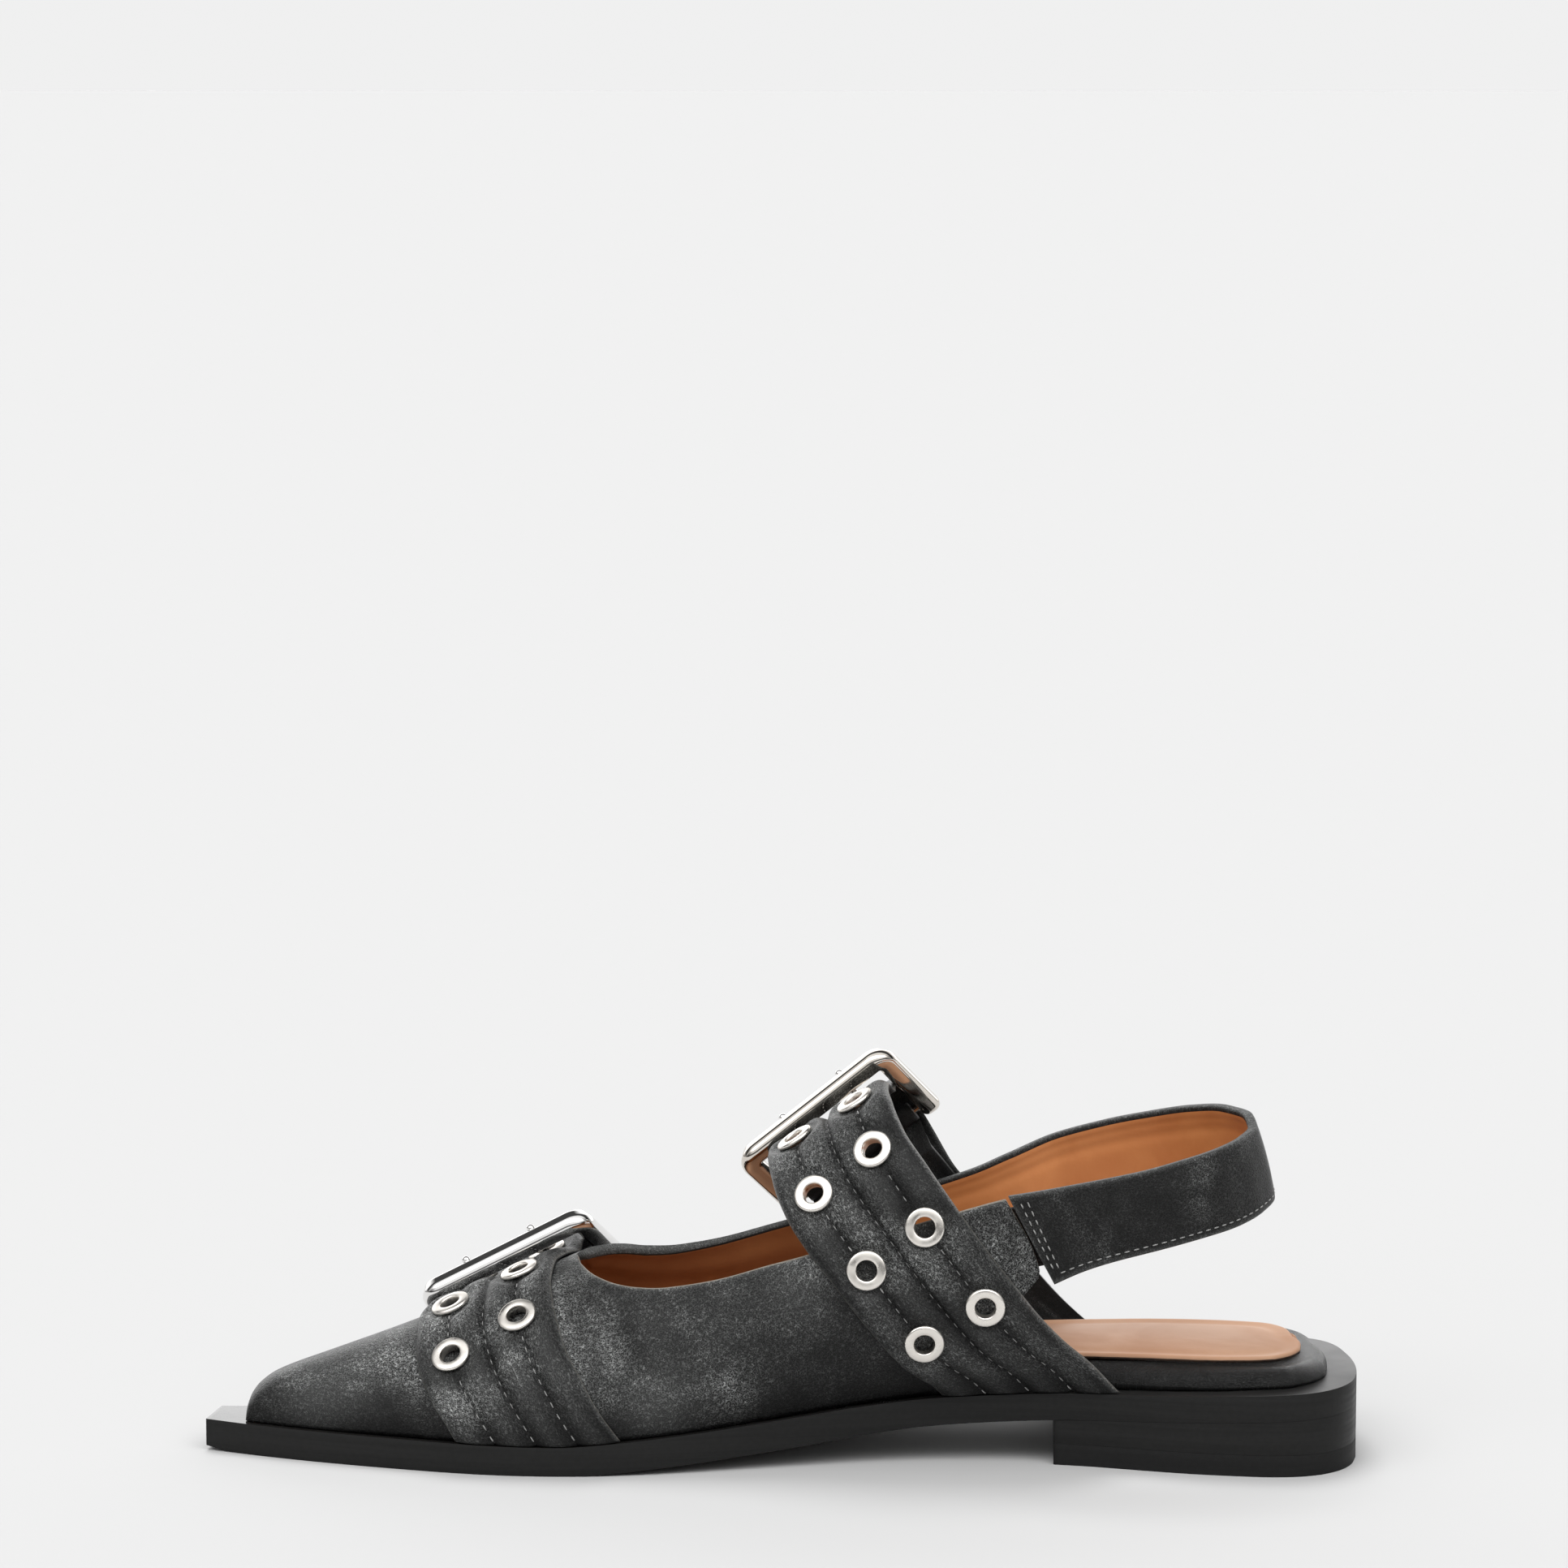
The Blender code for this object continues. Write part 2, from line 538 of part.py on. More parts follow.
def build_eyelets(strap, look, group):
    """Ring eyelets: barrel through the leather and a rolled flange on its face."""
    profile = [(EYELET_HOLE, -1.4), (EYELET_HOLE + 0.3, EYELET_FLANGE + GAP),
               (EYELET_OUTER - 0.6, EYELET_FLANGE + GAP), (EYELET_OUTER, GAP), (EYELET_BARREL, GAP - 0.05)]
    sides = 8
    for number, end, seat, along, across, out in eyelet_places(strap):
        rings = turned(profile, seat, along, across, out, sides)
        points = [p for ring in rings for p in ring]
        faces = []
        for r in range(len(rings)):
            after = (r + 1) % len(rings)
            for i in range(sides):
                j = (i + 1) % sides
                faces.append((r * sides + i, r * sides + j, after * sides + j, after * sides + i))
        name = f"{strap.name}_eyelet_{number}_{end}"
        add_object(name, mesh_from(name, points, faces), look["eyelet"], group)


class Buckle:
    """Plane of one frame: a runs from the near bar to the rod, w across the strap, n out of it."""

    def __init__(self, strap):
        self.strap = strap
        ends = [strap.base(strap.near_bar, w, STRAP_GAP) for w in (0.0, 1.0)]
        self.near = strap.base(strap.near_bar, 0.5, 3.0 + FRAME_TALL / 2)
        self.rod = strap.base(strap.far_bar, 0.5, ROD_CLEAR)
        roll = math.radians(FRAME_ROLL[strap.name])
        across = unit(ends[1] - ends[0])
        for _ in range(3):
            self.a = unit(self.rod - self.near)
            self.w = unit(across - self.a * np.dot(across, self.a))
            self.n = unit(np.cross(self.w, self.a))
            self.w, self.n = (self.w * math.cos(roll) + self.n * math.sin(roll),
                              self.n * math.cos(roll) - self.w * math.sin(roll))
            tops = [strap.point(strap.near_bar + ds, w, strap.thickness(strap.near_bar, w))
                    for ds in (-2.0, 0.0, 2.6) for w in (0.03, 0.125, 0.375, 0.5, 0.625, 0.875, 0.97)]
            self.near = self.near + self.n * max(np.dot(p - self.near, self.n) + FRAME_TALL / 2 + GAP
                                                 for p in tops)
            feet = [(strap.base(strap.far_bar, w, 0.0), ROD_CLEAR) for w in (0.0, 0.25, 0.5, 0.75, 1.0)]
            feet += [(strap.base(strap.far_bar + ds, w, 0.0), FRAME_TALL / 2) for w in (-0.14, 1.14)
                     for ds in (-4.0, 0.0, 3.0)]
            self.rod = self.rod + self.n * max(np.dot(p - self.rod, self.n) + clear + GAP for p, clear in feet)
        edges = [strap.base(s, w, STRAP_GAP) for s in (strap.near_bar, strap.far_bar) for w in (0.0, 1.0)]
        aside = self.w * (sum(np.dot(p - self.near, self.w) for p in edges) / 4 + FRAME_ASIDE[strap.name])
        middle = (self.near + self.rod) / 2 + aside
        self.length = float(np.linalg.norm(self.rod - self.near))
        yaw = math.radians(FRAME_YAW[strap.name])
        self.a = unit(self.rod - self.near)
        self.w = unit(self.w - self.a * np.dot(self.w, self.a))
        self.a, self.w = (self.a * math.cos(yaw) - self.w * math.sin(yaw),
                          self.w * math.cos(yaw) + self.a * math.sin(yaw))
        self.n = unit(np.cross(self.w, self.a))
        self.near, self.rod = middle - self.a * self.length / 2, middle + self.a * self.length / 2
        strap.rise_over(self)

    def at(self, a, w, n):
        return self.near + self.a * a + self.w * w + self.n * n


def build_frame(buckle, look, group, cutters):
    """Cast three-sided frame, a thinner rod across its open end, joined with a union."""
    path = []
    reach = buckle.length + 2.4
    for side in (-1, 1):
        leg = [((reach, side * FRAME_HALF), (0.0, side * 1.0))]
        for i in range(4):
            turn = math.radians(90 * i / 3)
            leg.append(((FRAME_CORNER * (1 - math.sin(turn)), side * (FRAME_HALF - FRAME_CORNER
                         + FRAME_CORNER * math.cos(turn))), (-math.sin(turn), side * math.cos(turn))))
        path += leg if side < 0 else leg[::-1]
    half, tall, cut = FRAME_BAR / 2, FRAME_TALL / 2, 1.1
    shape = [(half, -tall + cut), (half, tall - cut), (half - cut, tall), (cut - half, tall),
             (-half, tall - cut), (-half, cut - tall), (cut - half, -tall), (half - cut, -tall)]
    rings = []
    for (a, w), (da, dw) in path:
        rings.append([buckle.at(a + o * da, w + o * dw, n) for o, n in shape])
    name = buckle.strap.name + "_buckle_frame"
    item = add_object(name, loft(name, rings), look["frame"], group)
    rod_rings = []
    for w in (-FRAME_HALF, FRAME_HALF):
        rod_rings.append([buckle.at(buckle.length + ROD_RADIUS * math.cos(math.pi * i / 5), w,
                                    ROD_RADIUS * math.sin(math.pi * i / 5)) for i in range(10)])
    rod = bpy.data.objects.new(name + "_rod", loft(name + "_rod", rod_rings))
    cutters.objects.link(rod)
    rod.hide_render = True
    rod.display_type = "WIRE"
    join = item.modifiers.new("rod", "BOOLEAN")
    join.operation = "UNION"
    join.solver = "EXACT"
    join.object = rod


def rounded_path(points, passes):
    """Cuts the corners of a polyline, keeping its ends."""
    for _ in range(passes):
        made = [points[0]]
        for p, q in zip(points[:-1], points[1:]):
            made += [p * 0.75 + q * 0.25, p * 0.25 + q * 0.75]
        points = made + [points[-1]]
    return points


def build_prong(buckle, end, look, group):
    """Bent wire: an eye round the rod, up through the eyelet, along the strap, tip over the near bar."""
    strap = buckle.strap
    w_share = EYELET_ROW if end == "front" else 1 - EYELET_ROW
    seat = strap.point(strap.prong_pair, w_share, 1.3)
    w = float(np.dot(seat - buckle.near, buckle.w))
    eye = ROD_RADIUS + GAP + PRONG_RADIUS
    ring = []
    for i in range(7):
        turn = math.radians(-45 - 45 * i)
        ring.append(buckle.at(buckle.length - eye * math.cos(turn), w, eye * math.sin(turn)))
    below = -(2 * GAP + PRONG_RADIUS)
    along, across, out = strap.axes(strap.prong_pair, w_share)
    under = [strap.point(strap.far_bar - 4, w_share, below), strap.point(strap.far_bar - 7.5, w_share, below - 0.5)]
    rise = [seat - out * 3.0 + along * 3.0, seat - out * 2.3 + along * 0.7, seat + out * 2.3 - along * 0.6]
    level = [p - buckle.w * (np.dot(p - buckle.near, buckle.w) - w) for p in under + rise]
    bar_top = FRAME_TALL / 2 + GAP + PRONG_RADIUS
    tip = [buckle.at(3.0, w, bar_top + 0.2), buckle.at(-1.0, w, bar_top), buckle.at(-2.4, w, bar_top - 0.4)]
    path = ring + rounded_path(level + tip, 1)
    rings = []
    sides = 5
    for i, p in enumerate(path):
        ahead = unit(path[min(i + 1, len(path) - 1)] - path[max(i - 1, 0)])
        up = unit(np.cross(ahead, buckle.w))
        side = unit(np.cross(up, ahead))
        rings.append([p + PRONG_RADIUS * (side * math.cos(2 * math.pi * j / sides)
                                          + up * math.sin(2 * math.pi * j / sides)) for j in range(sides)])
    name = f"{strap.name}_prong_{end}"
    add_object(name, loft(name, rings), look["prong"], group)


def build_buckle_strap(buckle, look, group, cutters):
    """Short strap from the far sole edge, its end folded round the rod with slots for the prongs."""
    strap = buckle.strap
    total = float(strap.arcs[-1])
    fold = ROD_RADIUS + GAP + FOLD_WALL
    widths = (0.02, 0.27, 0.5, 0.73, 0.98)
    rings = []
    for s in strap_stations(total, strap.far_bar + 5.5, 4.5):
        thick = BUCKLE_STRAP_THICK * min(1.0, 0.6 + (total - s) / 30)
        ring = [strap.base(s, w, STRAP_GAP) for w in widths]
        ring += [strap.base(s, w, STRAP_GAP + thick) for w in reversed(widths)]
        rings.append(ring)
    half = FRAME_HALF - FRAME_BAR / 2 - 2.4
    spans = (-half, -half / 2, 0.0, half / 2, half)
    for turn in (35, 65, 90, 115, 145, 168):
        off = fold * math.cos(math.radians(turn))
        tall = fold * math.sin(math.radians(turn))
        ring = [buckle.at(buckle.length + off, w, -tall) for w in spans]
        ring += [buckle.at(buckle.length + off, w, tall) for w in reversed(spans)]
        rings.append(ring)
    name = strap.name + "_buckle_strap"
    item = add_object(name, loft(name, rings), look["buckle_strap"], group)
    body = bmesh.new()
    bore = ROD_RADIUS + GAP
    holes = [buckle.at(buckle.length, w, 0.0) for w in (-FRAME_HALF, FRAME_HALF)]
    rod_rings = [[p + bore * (buckle.a * math.cos(math.pi * i / 5) + buckle.n * math.sin(math.pi * i / 5))
                  for i in range(10)] for p in holes]
    made = loft("bore", rod_rings)
    body.from_mesh(made)
    bpy.data.meshes.remove(made)
    bored = bpy.data.meshes.new(name + "_bore")
    body.to_mesh(bored)
    body.free()
    slots = bmesh.new()
    for w_share in (EYELET_ROW, 1 - EYELET_ROW):
        seat = strap.point(strap.prong_pair, w_share, 1.3)
        w = float(np.dot(seat - buckle.near, buckle.w))
        box = []
        for a in (buckle.length - 6, buckle.length + 5.4):
            box.append([buckle.at(a, w + dw, dn) for dw, dn in ((-1.6, -8), (1.6, -8), (1.6, 8), (-1.6, 8))])
        made = loft("slot", box)
        slots.from_mesh(made)
        bpy.data.meshes.remove(made)
    slotted = bpy.data.meshes.new(name + "_slots")
    slots.to_mesh(slotted)
    slots.free()
    for label, mesh in (("bore", bored), ("slots", slotted)):
        tool = bpy.data.objects.new(f"{name}_{label}", mesh)
        cutters.objects.link(tool)
        tool.hide_render = True
        tool.display_type = "WIRE"
        cut = item.modifiers.new(label, "BOOLEAN")
        cut.operation = "DIFFERENCE"
        cut.solver = "EXACT"
        cut.object = tool


def band(name, rows, thick, per_row):
    """Strap between a top and a bottom edge, its thickness turned inward of the loop."""
    columns = [monotone(range(len(rows)), [row[i] for row in rows]) for i in range(6)]
    count = (len(rows) - 1) * per_row
    edges = []
    for i in range(count + 1):
        values = [column(i / per_row) for column in columns]
        edges.append((np.array(values[:3]), np.array(values[3:])))
    rings = []
    for i, (top, low) in enumerate(edges):
        before, after = edges[max(i - 1, 0)], edges[min(i + 1, count)]
        ahead = (after[0] + after[1]) - (before[0] + before[1])
        inward = unit(np.cross(ahead, top - low))
        middle = (top + low) / 2
        ring = [top, middle, low]
        ring += [p + inward * thick for p in (low, middle, top)]
        rings.append(ring)
    return loft(name, rings)


def build_sling(look, group):
    add_object("slingback", band("slingback", SLING, SLING_THICK, 2), look["sling"], group)
    turned_in = [row for row in GORE[::-1]]
    add_object("sling_gore", band("sling_gore", turned_in, GORE_THICK, 2), look["gore"], group)


def build():
    clear_scene()
    scene = bpy.context.scene
    group = bpy.data.collections.new("buckle_ballet_flat")
    cutters = bpy.data.collections.new("cutters")
    scene.collection.children.link(group)
    scene.collection.children.link(cutters)
    look = {
        "sole": material("black_sole", (0.016, 0.016, 0.016), 0.55),
        "heel": material("black_heel_stack", (0.018, 0.017, 0.017), 0.55),
        "lift": material("black_rubber_lift", (0.013, 0.013, 0.013), 0.8),
        "footbed": material("black_wrapped_leather", (0.022, 0.021, 0.02), 0.5),
        "sock": material("tan_sock_leather", (0.62, 0.36, 0.21), 0.5),
        "upper": material("black_upper_leather", (0.03, 0.029, 0.028), 0.45),
        "strap": material("black_padded_leather", (0.032, 0.031, 0.03), 0.45),
        "buckle_strap": material("black_strap_leather", (0.02, 0.02, 0.02), 0.45),
        "sling": material("black_sling_leather", (0.03, 0.029, 0.028), 0.45),
        "gore": material("black_elastic", (0.015, 0.015, 0.015), 0.85),
        "eyelet": material("nickel_eyelet", (0.78, 0.75, 0.7), 0.25, 1.0),
        "frame": material("chrome_frame", (0.82, 0.81, 0.8), 0.12, 1.0),
        "prong": material("chrome_prong", (0.82, 0.81, 0.8), 0.15, 1.0)}
    build_sole(look, group)
    build_footbed(look, group)
    build_upper(look, group)
    for name in ("toe", "instep"):
        strap = Strap(name)
        buckle = Buckle(strap)
        build_eyelet_strap(strap, look, group, cutters)
        build_eyelets(strap, look, group)
        build_buckle_strap(buckle, look, group, cutters)
        build_frame(buckle, look, group, cutters)
        for end in ("front", "rear"):
            build_prong(buckle, end, look, group)
    build_sling(look, group)
    cutters.hide_render = True


build()
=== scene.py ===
import math

import bmesh
import bpy
import numpy as np
from mathutils import Matrix, Vector


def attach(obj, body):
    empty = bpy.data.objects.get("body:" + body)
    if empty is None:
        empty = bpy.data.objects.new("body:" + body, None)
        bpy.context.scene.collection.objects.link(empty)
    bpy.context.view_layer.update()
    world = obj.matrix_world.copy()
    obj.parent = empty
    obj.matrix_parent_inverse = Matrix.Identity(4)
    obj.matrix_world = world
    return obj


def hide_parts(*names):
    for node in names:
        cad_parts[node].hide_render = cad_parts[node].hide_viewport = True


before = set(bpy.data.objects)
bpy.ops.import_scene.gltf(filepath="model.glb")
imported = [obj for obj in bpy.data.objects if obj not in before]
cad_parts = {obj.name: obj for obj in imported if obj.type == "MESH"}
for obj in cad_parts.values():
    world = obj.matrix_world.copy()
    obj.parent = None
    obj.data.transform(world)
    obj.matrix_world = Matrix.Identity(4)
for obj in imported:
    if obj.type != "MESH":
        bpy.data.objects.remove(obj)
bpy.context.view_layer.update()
print("frame loaded:", len(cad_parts), "solids")

mm = 0.001
# the shoe's own millimetres: x from the toe, y from the inner to the outer side, z up
shoe = {"originX": 134.35, "originY": 1.25, "gap": 0.3, "featherInset": 1.6,
        "toeTurn": 12.0, "turnRun": 2.0, "turnIn": 0.12,  # the feather line turns in at the toe
        "probe": (0.1, 0.005)}  # steps along and round the last, for its normals


def smoothCurve(xs, ys):
    xs, ys = np.asarray(xs, float), np.asarray(ys, float)
    steps = np.diff(xs)
    slopes = np.diff(ys) / steps
    ends = np.concatenate([[slopes[0]], np.zeros(len(xs) - 2), [slopes[-1]]])
    for i in range(1, len(xs) - 1):
        if slopes[i - 1] * slopes[i] > 0:  # never overshoots between two points
            before, after = 2 * steps[i] + steps[i - 1], steps[i] + 2 * steps[i - 1]
            ends[i] = (before + after) / (before / slopes[i - 1] + after / slopes[i])

    def at(x):
        x = np.clip(np.asarray(x, float), xs[0], xs[-1])
        i = np.clip(np.searchsorted(xs, x, side="right") - 1, 0, len(xs) - 2)
        u = (x - xs[i]) / steps[i]
        rise = (1 + 2 * u) * (1 - u) ** 2 * ys[i] + u * u * (3 - 2 * u) * ys[i + 1]
        return rise + steps[i] * (u * (1 - u) ** 2 * ends[i] + u * u * (u - 1) * ends[i + 1])
    return at


def curves(names, rows):
    data = np.array(rows, float)
    return {name: smoothCurve(data[:, 0], data[:, i + 1]) for i, name in enumerate(names)}


def ramp(x, a, b):
    t = np.clip((np.asarray(x, float) - a) / (b - a), 0, 1)
    return t * t * (3 - 2 * t)


def unit(v):
    v = np.asarray(v, float)
    return v / np.linalg.norm(v, axis=-1, keepdims=True)


def toFrame(p):
    return (np.asarray(p, float) - [shoe["originX"], shoe["originY"], 0]) * mm


# one smooth curve for each column, over the number of the row
def columnsOf(rows):
    data = np.array(rows, float)
    return [smoothCurve(np.arange(len(data)), column) for column in data.T]


# length from the start to each point of a path
def runAlong(path):
    return np.concatenate([[0], np.cumsum(np.linalg.norm(np.diff(path, axis=0), axis=1))])


# height of a rounded edge, at a share of its width
def quarterRound(share, floor=0.0):
    return np.sqrt(np.maximum(1 - (1 - np.clip(share, 0, 1)) ** 2, floor))


def bell(x, middle, wide):
    return np.exp(-((x - middle) / wide) ** 2)


# the last, as sections along the foot
profile = curves(("top", "bottom"), [
    (0, 7.5, 1.3), (6, 7.3, 0.3), (14, 7.2, 0.0), (45, 7.1, 0.0), (84, 6.7, 0.0), (94, 7.3, 0.35),
    (109, 8.6, 1.6), (124, 10.1, 3.1), (139, 11.9, 4.9), (153, 13.7, 6.9), (170, 15.4, 8.9),
    (189, 16.4, 10.1), (198, 16.8, 10.5), (217, 17.6, 11.4), (247, 19.0, 12.8), (270, 19.8, 13.6)])
soleSides = curves(("near", "far"), [
    (0, -15.5, -3.2), (10, -19.4, -2.0), (20, -23.2, 3.5), (30, -26.6, 10.5), (40, -29.6, 17.5),
    (50, -32.3, 24.0), (60, -34.7, 29.5), (70, -36.4, 34.0), (80, -37.1, 37.2), (90, -36.9, 39.2),
    (100, -35.8, 40.0), (110, -34.0, 39.6), (124, -30.4, 37.6), (139, -26.6, 34.6), (153, -23.5, 32.0),
    (170, -21.1, 29.7), (185, -20.6, 28.7), (198, -20.9, 28.5), (210, -23.4, 28.8), (222, -26.5, 29.3),
    (235, -29.2, 29.6), (247, -30.4, 29.4)])
last = curves(("ridgeY", "ridgeZ", "lift", "nearBelly", "farBelly", "nearShoulder", "farShoulder"), [
    (10.0, -10.0, 7.5, 0.60, 0.0, 0.0, 6.0, 6.0), (10.3, -10.0, 11.0, 0.60, 0.2, 0.2, 7.0, 7.0),
    (11.4, -10.0, 13.4, 0.60, 0.4, 0.4, 7.0, 7.5), (13.3, -10.0, 15.4, 0.58, 0.6, 0.6, 7.5, 8.0),
    (16.2, -10.0, 17.4, 0.56, 0.8, 0.8, 8.0, 8.5), (20.0, -9.6, 19.0, 0.55, 1.0, 1.0, 8.5, 9.5),
    (28.0, -8.4, 21.7, 0.52, 1.2, 1.2, 9.5, 11.0), (42.0, -6.0, 26.4, 0.48, 1.5, 1.5, 11.0, 13.0),
    (56.0, -4.0, 31.6, 0.45, 1.8, 1.8, 12.0, 14.0), (70.0, -2.8, 37.6, 0.43, 2.0, 2.0, 14.0, 15.0),
    (86.0, -1.6, 44.2, 0.43, 2.5, 2.0, 16.0, 17.0), (109.0, -1.0, 55.0, 0.43, 4.0, 1.0, 19.0, 18.0),
    (131.0, -1.0, 66.0, 0.42, 9.0, 1.0, 22.0, 20.0), (145.0, -1.0, 75.0, 0.40, 12.0, 2.0, 22.0, 20.0),
    (160.0, -1.0, 84.5, 0.38, 15.0, 3.0, 22.0, 20.0), (185.0, -1.0, 98.0, 0.36, 17.0, 4.0, 22.0, 20.0),
    (220.0, -1.0, 106.0, 0.34, 12.0, 4.0, 22.0, 20.0)])


def featherLine(x, side):
    inward = shoe["featherInset"] if side == "near" else -shoe["featherInset"]
    edge = soleSides[side](x) + inward
    middle = last["ridgeY"](x)
    ahead = np.maximum(shoe["toeTurn"] - x, 0) / shoe["turnRun"]
    turned = middle + (edge - middle) * (1 - shoe["turnIn"] * ahead ** 2)
    return np.where(np.asarray(x) >= shoe["toeTurn"], edge, turned)


def lastPoint(x, place):
    x, place = np.broadcast_arrays(np.asarray(x, float), np.asarray(place, float))
    near = place < 0
    sign = np.where(near, -1.0, 1.0)
    q = 1 - np.abs(place)
    base = profile["top"](x) + shoe["gap"]
    crown = np.maximum(last["ridgeZ"](x), base)
    middle = last["ridgeY"](x)
    foot = np.where(near, featherLine(x, "near"), featherLine(x, "far"))
    belly = foot + sign * np.where(near, last["nearBelly"](x), last["farBelly"](x))
    shoulder = middle + sign * np.where(near, last["nearShoulder"](x), last["farShoulder"](x))
    pull = base + last["lift"](x) * (crown - base)
    a, b, c, d = (1 - q) ** 3, 3 * (1 - q) ** 2 * q, 3 * (1 - q) * q * q, q ** 3
    return np.stack([x, a * foot + b * belly + c * shoulder + d * middle,
                     a * base + b * pull + (c + d) * crown], -1)


def lastNormal(x, place):
    step, tilt = shoe["probe"]
    along = lastPoint(x + step, place) - lastPoint(x - step, place)
    low, high = np.maximum(place - tilt, -1.0), np.minimum(place + tilt, 1.0)
    return unit(np.cross(along, lastPoint(x, high) - lastPoint(x, low)))


# node helpers, for one node tree
class Nodes:
    def __init__(self, tree):
        self.tree = tree

    def feed(self, socket, value):
        if isinstance(value, bpy.types.NodeSocket):
            self.tree.links.new(value, socket)
        else:
            socket.default_value = value

    def add(self, kind, inputs=None, take=0, **settings):
        made = self.tree.nodes.new("ShaderNode" + kind)
        for key, value in settings.items():
            setattr(made, key, value)
        for key, value in (inputs or {}).items():
            self.feed(made.inputs[key], value)
        return made.outputs[take]

    def maths(self, how, a, b=0.0):
        return self.add("Math", {0: a, 1: b}, operation=how)

    def plus(self, a, b):
        return self.maths("ADD", a, b)

    def times(self, a, b):
        return self.maths("MULTIPLY", a, b)

    def spread(self, value, fromLow, fromHigh, toLow, toHigh, how="SMOOTHSTEP"):
        inputs = {"Value": value, "From Min": fromLow, "From Max": fromHigh, "To Min": toLow,
                  "To Max": toHigh}
        return self.add("MapRange", inputs, interpolation_type=how)

    def noise(self, where, scale, detail=2.0, distortion=0.0, rough=0.5):
        inputs = {"Vector": where, "Scale": scale, "Detail": detail, "Roughness": rough,
                  "Distortion": distortion}
        return self.add("TexNoise", inputs)

    def blend(self, share, a, b):
        a, b = (c if isinstance(c, bpy.types.NodeSocket) else (*c, 1.0) for c in (a, b))
        return self.add("Mix", {0: share, 6: a, 7: b}, 2, data_type="RGBA")

    def spot(self, source="Object", offset=(0, 0, 0), scale=(1, 1, 1)):
        where = self.add("TexCoord", take=source)
        return self.add("Mapping", {"Vector": where, "Location": offset, "Scale": scale})

    def painted(self, name):
        return self.add("Attribute", take="Fac", attribute_name=name)

    def bump(self, height, strength, distance):
        return self.add("Bump", {"Height": height, "Strength": strength, "Distance": distance})


class Finish(Nodes):
    def __init__(self, name):
        self.look = bpy.data.materials.new(name)
        self.look.use_nodes = True
        super().__init__(self.look.node_tree)

    def shade(self, inputs):
        shader = self.tree.nodes["Principled BSDF"]
        for key, value in inputs.items():
            self.feed(shader.inputs[key], value)
        return self.look


def tint(colour, share):
    return [c * share for c in colour]


leather = {"black": (0.0058, 0.0058, 0.0057), "fibre": (0.46, 0.47, 0.462), "bare": (0.32, 0.29, 0.24),
           "gloss": (0.3, 0.17), "swirl": 420.0, "curl": 0.0008, "breaks": 1100, "patch": 30, "cloud": 110,
           "worms": ((980.0, 0.021, 0.0), (1500.0, 0.026, 3.7)),  # scale, width and shift of the rub lines
           "frost": 3000, "frosted": 0.4, "grain": 1500, "grainDepth": 0.00045}


# stretch follows the way the hairs run on the piece
def rubbedLeather(name, offset=(0, 0, 0), share=1.0, stretch=(1.0, 1.0), edgeWear=0.0, source="UV",
                  gloss=leather["gloss"]):
    f = Finish(name)
    spot = f.spot(source, offset)
    swirl = f.add("TexNoise", {"Vector": spot, "Scale": leather["swirl"], "Detail": 1.0}, "Color")
    swirl = f.add("VectorMath", {0: swirl, 1: (0.5, 0.5, 0.5)}, operation="SUBTRACT")
    curled = f.add("VectorMath", {0: swirl, 1: [leather["curl"]] * 3, 2: spot}, operation="MULTIPLY_ADD")
    strands = []
    for scale, width, shift in leather["worms"]:  # thin curly lines where the noise crosses its middle
        lay = f.add("Mapping", {"Vector": curled, "Location": (shift, shift, 0), "Scale": (*stretch, 1.0)})
        off = f.maths("ABSOLUTE", f.maths("SUBTRACT", f.noise(lay, scale, 1.5), 0.5))
        strands.append(f.spread(off, 0.004, width, 1.0, 0.0))
    gaps = f.spread(f.noise(spot, leather["breaks"], 1.0), 0.4, 0.58, 0.05, 1.0)
    fibres = f.times(f.maths("MAXIMUM", *strands), gaps)
    tops = f.spread(f.noise(spot, leather["frost"]), 0.44, 0.68, 0.0, leather["frosted"])
    fibres = f.maths("MAXIMUM", fibres, tops)  # with the rubbed tops of the grain
    patches = f.spread(f.noise(spot, leather["patch"], 3.0, 0.6), 0.43, 0.66, 0.16, 1.0)
    clouds = f.spread(f.noise(spot, leather["cloud"], 3.0, 0.8), 0.3, 0.7, 0.4, 1.0)
    worn = f.times(f.times(fibres, patches), f.times(clouds, share))
    shadePaint = f.painted("paintedShade")  # painted shade: darker near the sole and in the strap's stitch valleys
    worn = f.times(worn, f.spread(shadePaint, 0, 1, 1.0, 0.05, "LINEAR"))
    rubbedAndSheen = f.painted("wearAndSheen")
    # lighter where rubbed, and where sheen is painted on the pad crowns and vamp spots
    worn = f.plus(worn, f.times(f.times(rubbedAndSheen, 0.4), f.spread(fibres, 0, 1, 0.25, 1.0)))
    worn = f.add("Clamp", {"Value": worn})
    bared = f.times(f.spread(rubbedAndSheen, 0.72, 0.97, 0.0, 1.0), edgeWear)
    body = f.blend(clouds, tint(leather["black"], 0.8), tint(leather["black"], 1.6))
    # painted shade darkens the colour near the sole and in the valleys
    body = f.blend(shadePaint, body, tint(leather["black"], 0.2))
    body = f.blend(worn, body, leather["fibre"])
    height = f.plus(f.times(fibres, 0.5), f.times(f.noise(spot, leather["grain"]), 0.8))
    return f.shade({"Base Color": f.blend(bared, body, leather["bare"]),
                    "Roughness": f.spread(worn, 0, 1, gloss[0] - 0.02, 0.6, "LINEAR"),
                    "Specular IOR Level": gloss[1], "Normal": f.bump(height, 0.6, leather["grainDepth"])})


tanMake = {"pores": 1300, "wrinkles": 420, "depth": 0.00006, "hemSoft": 0.08}


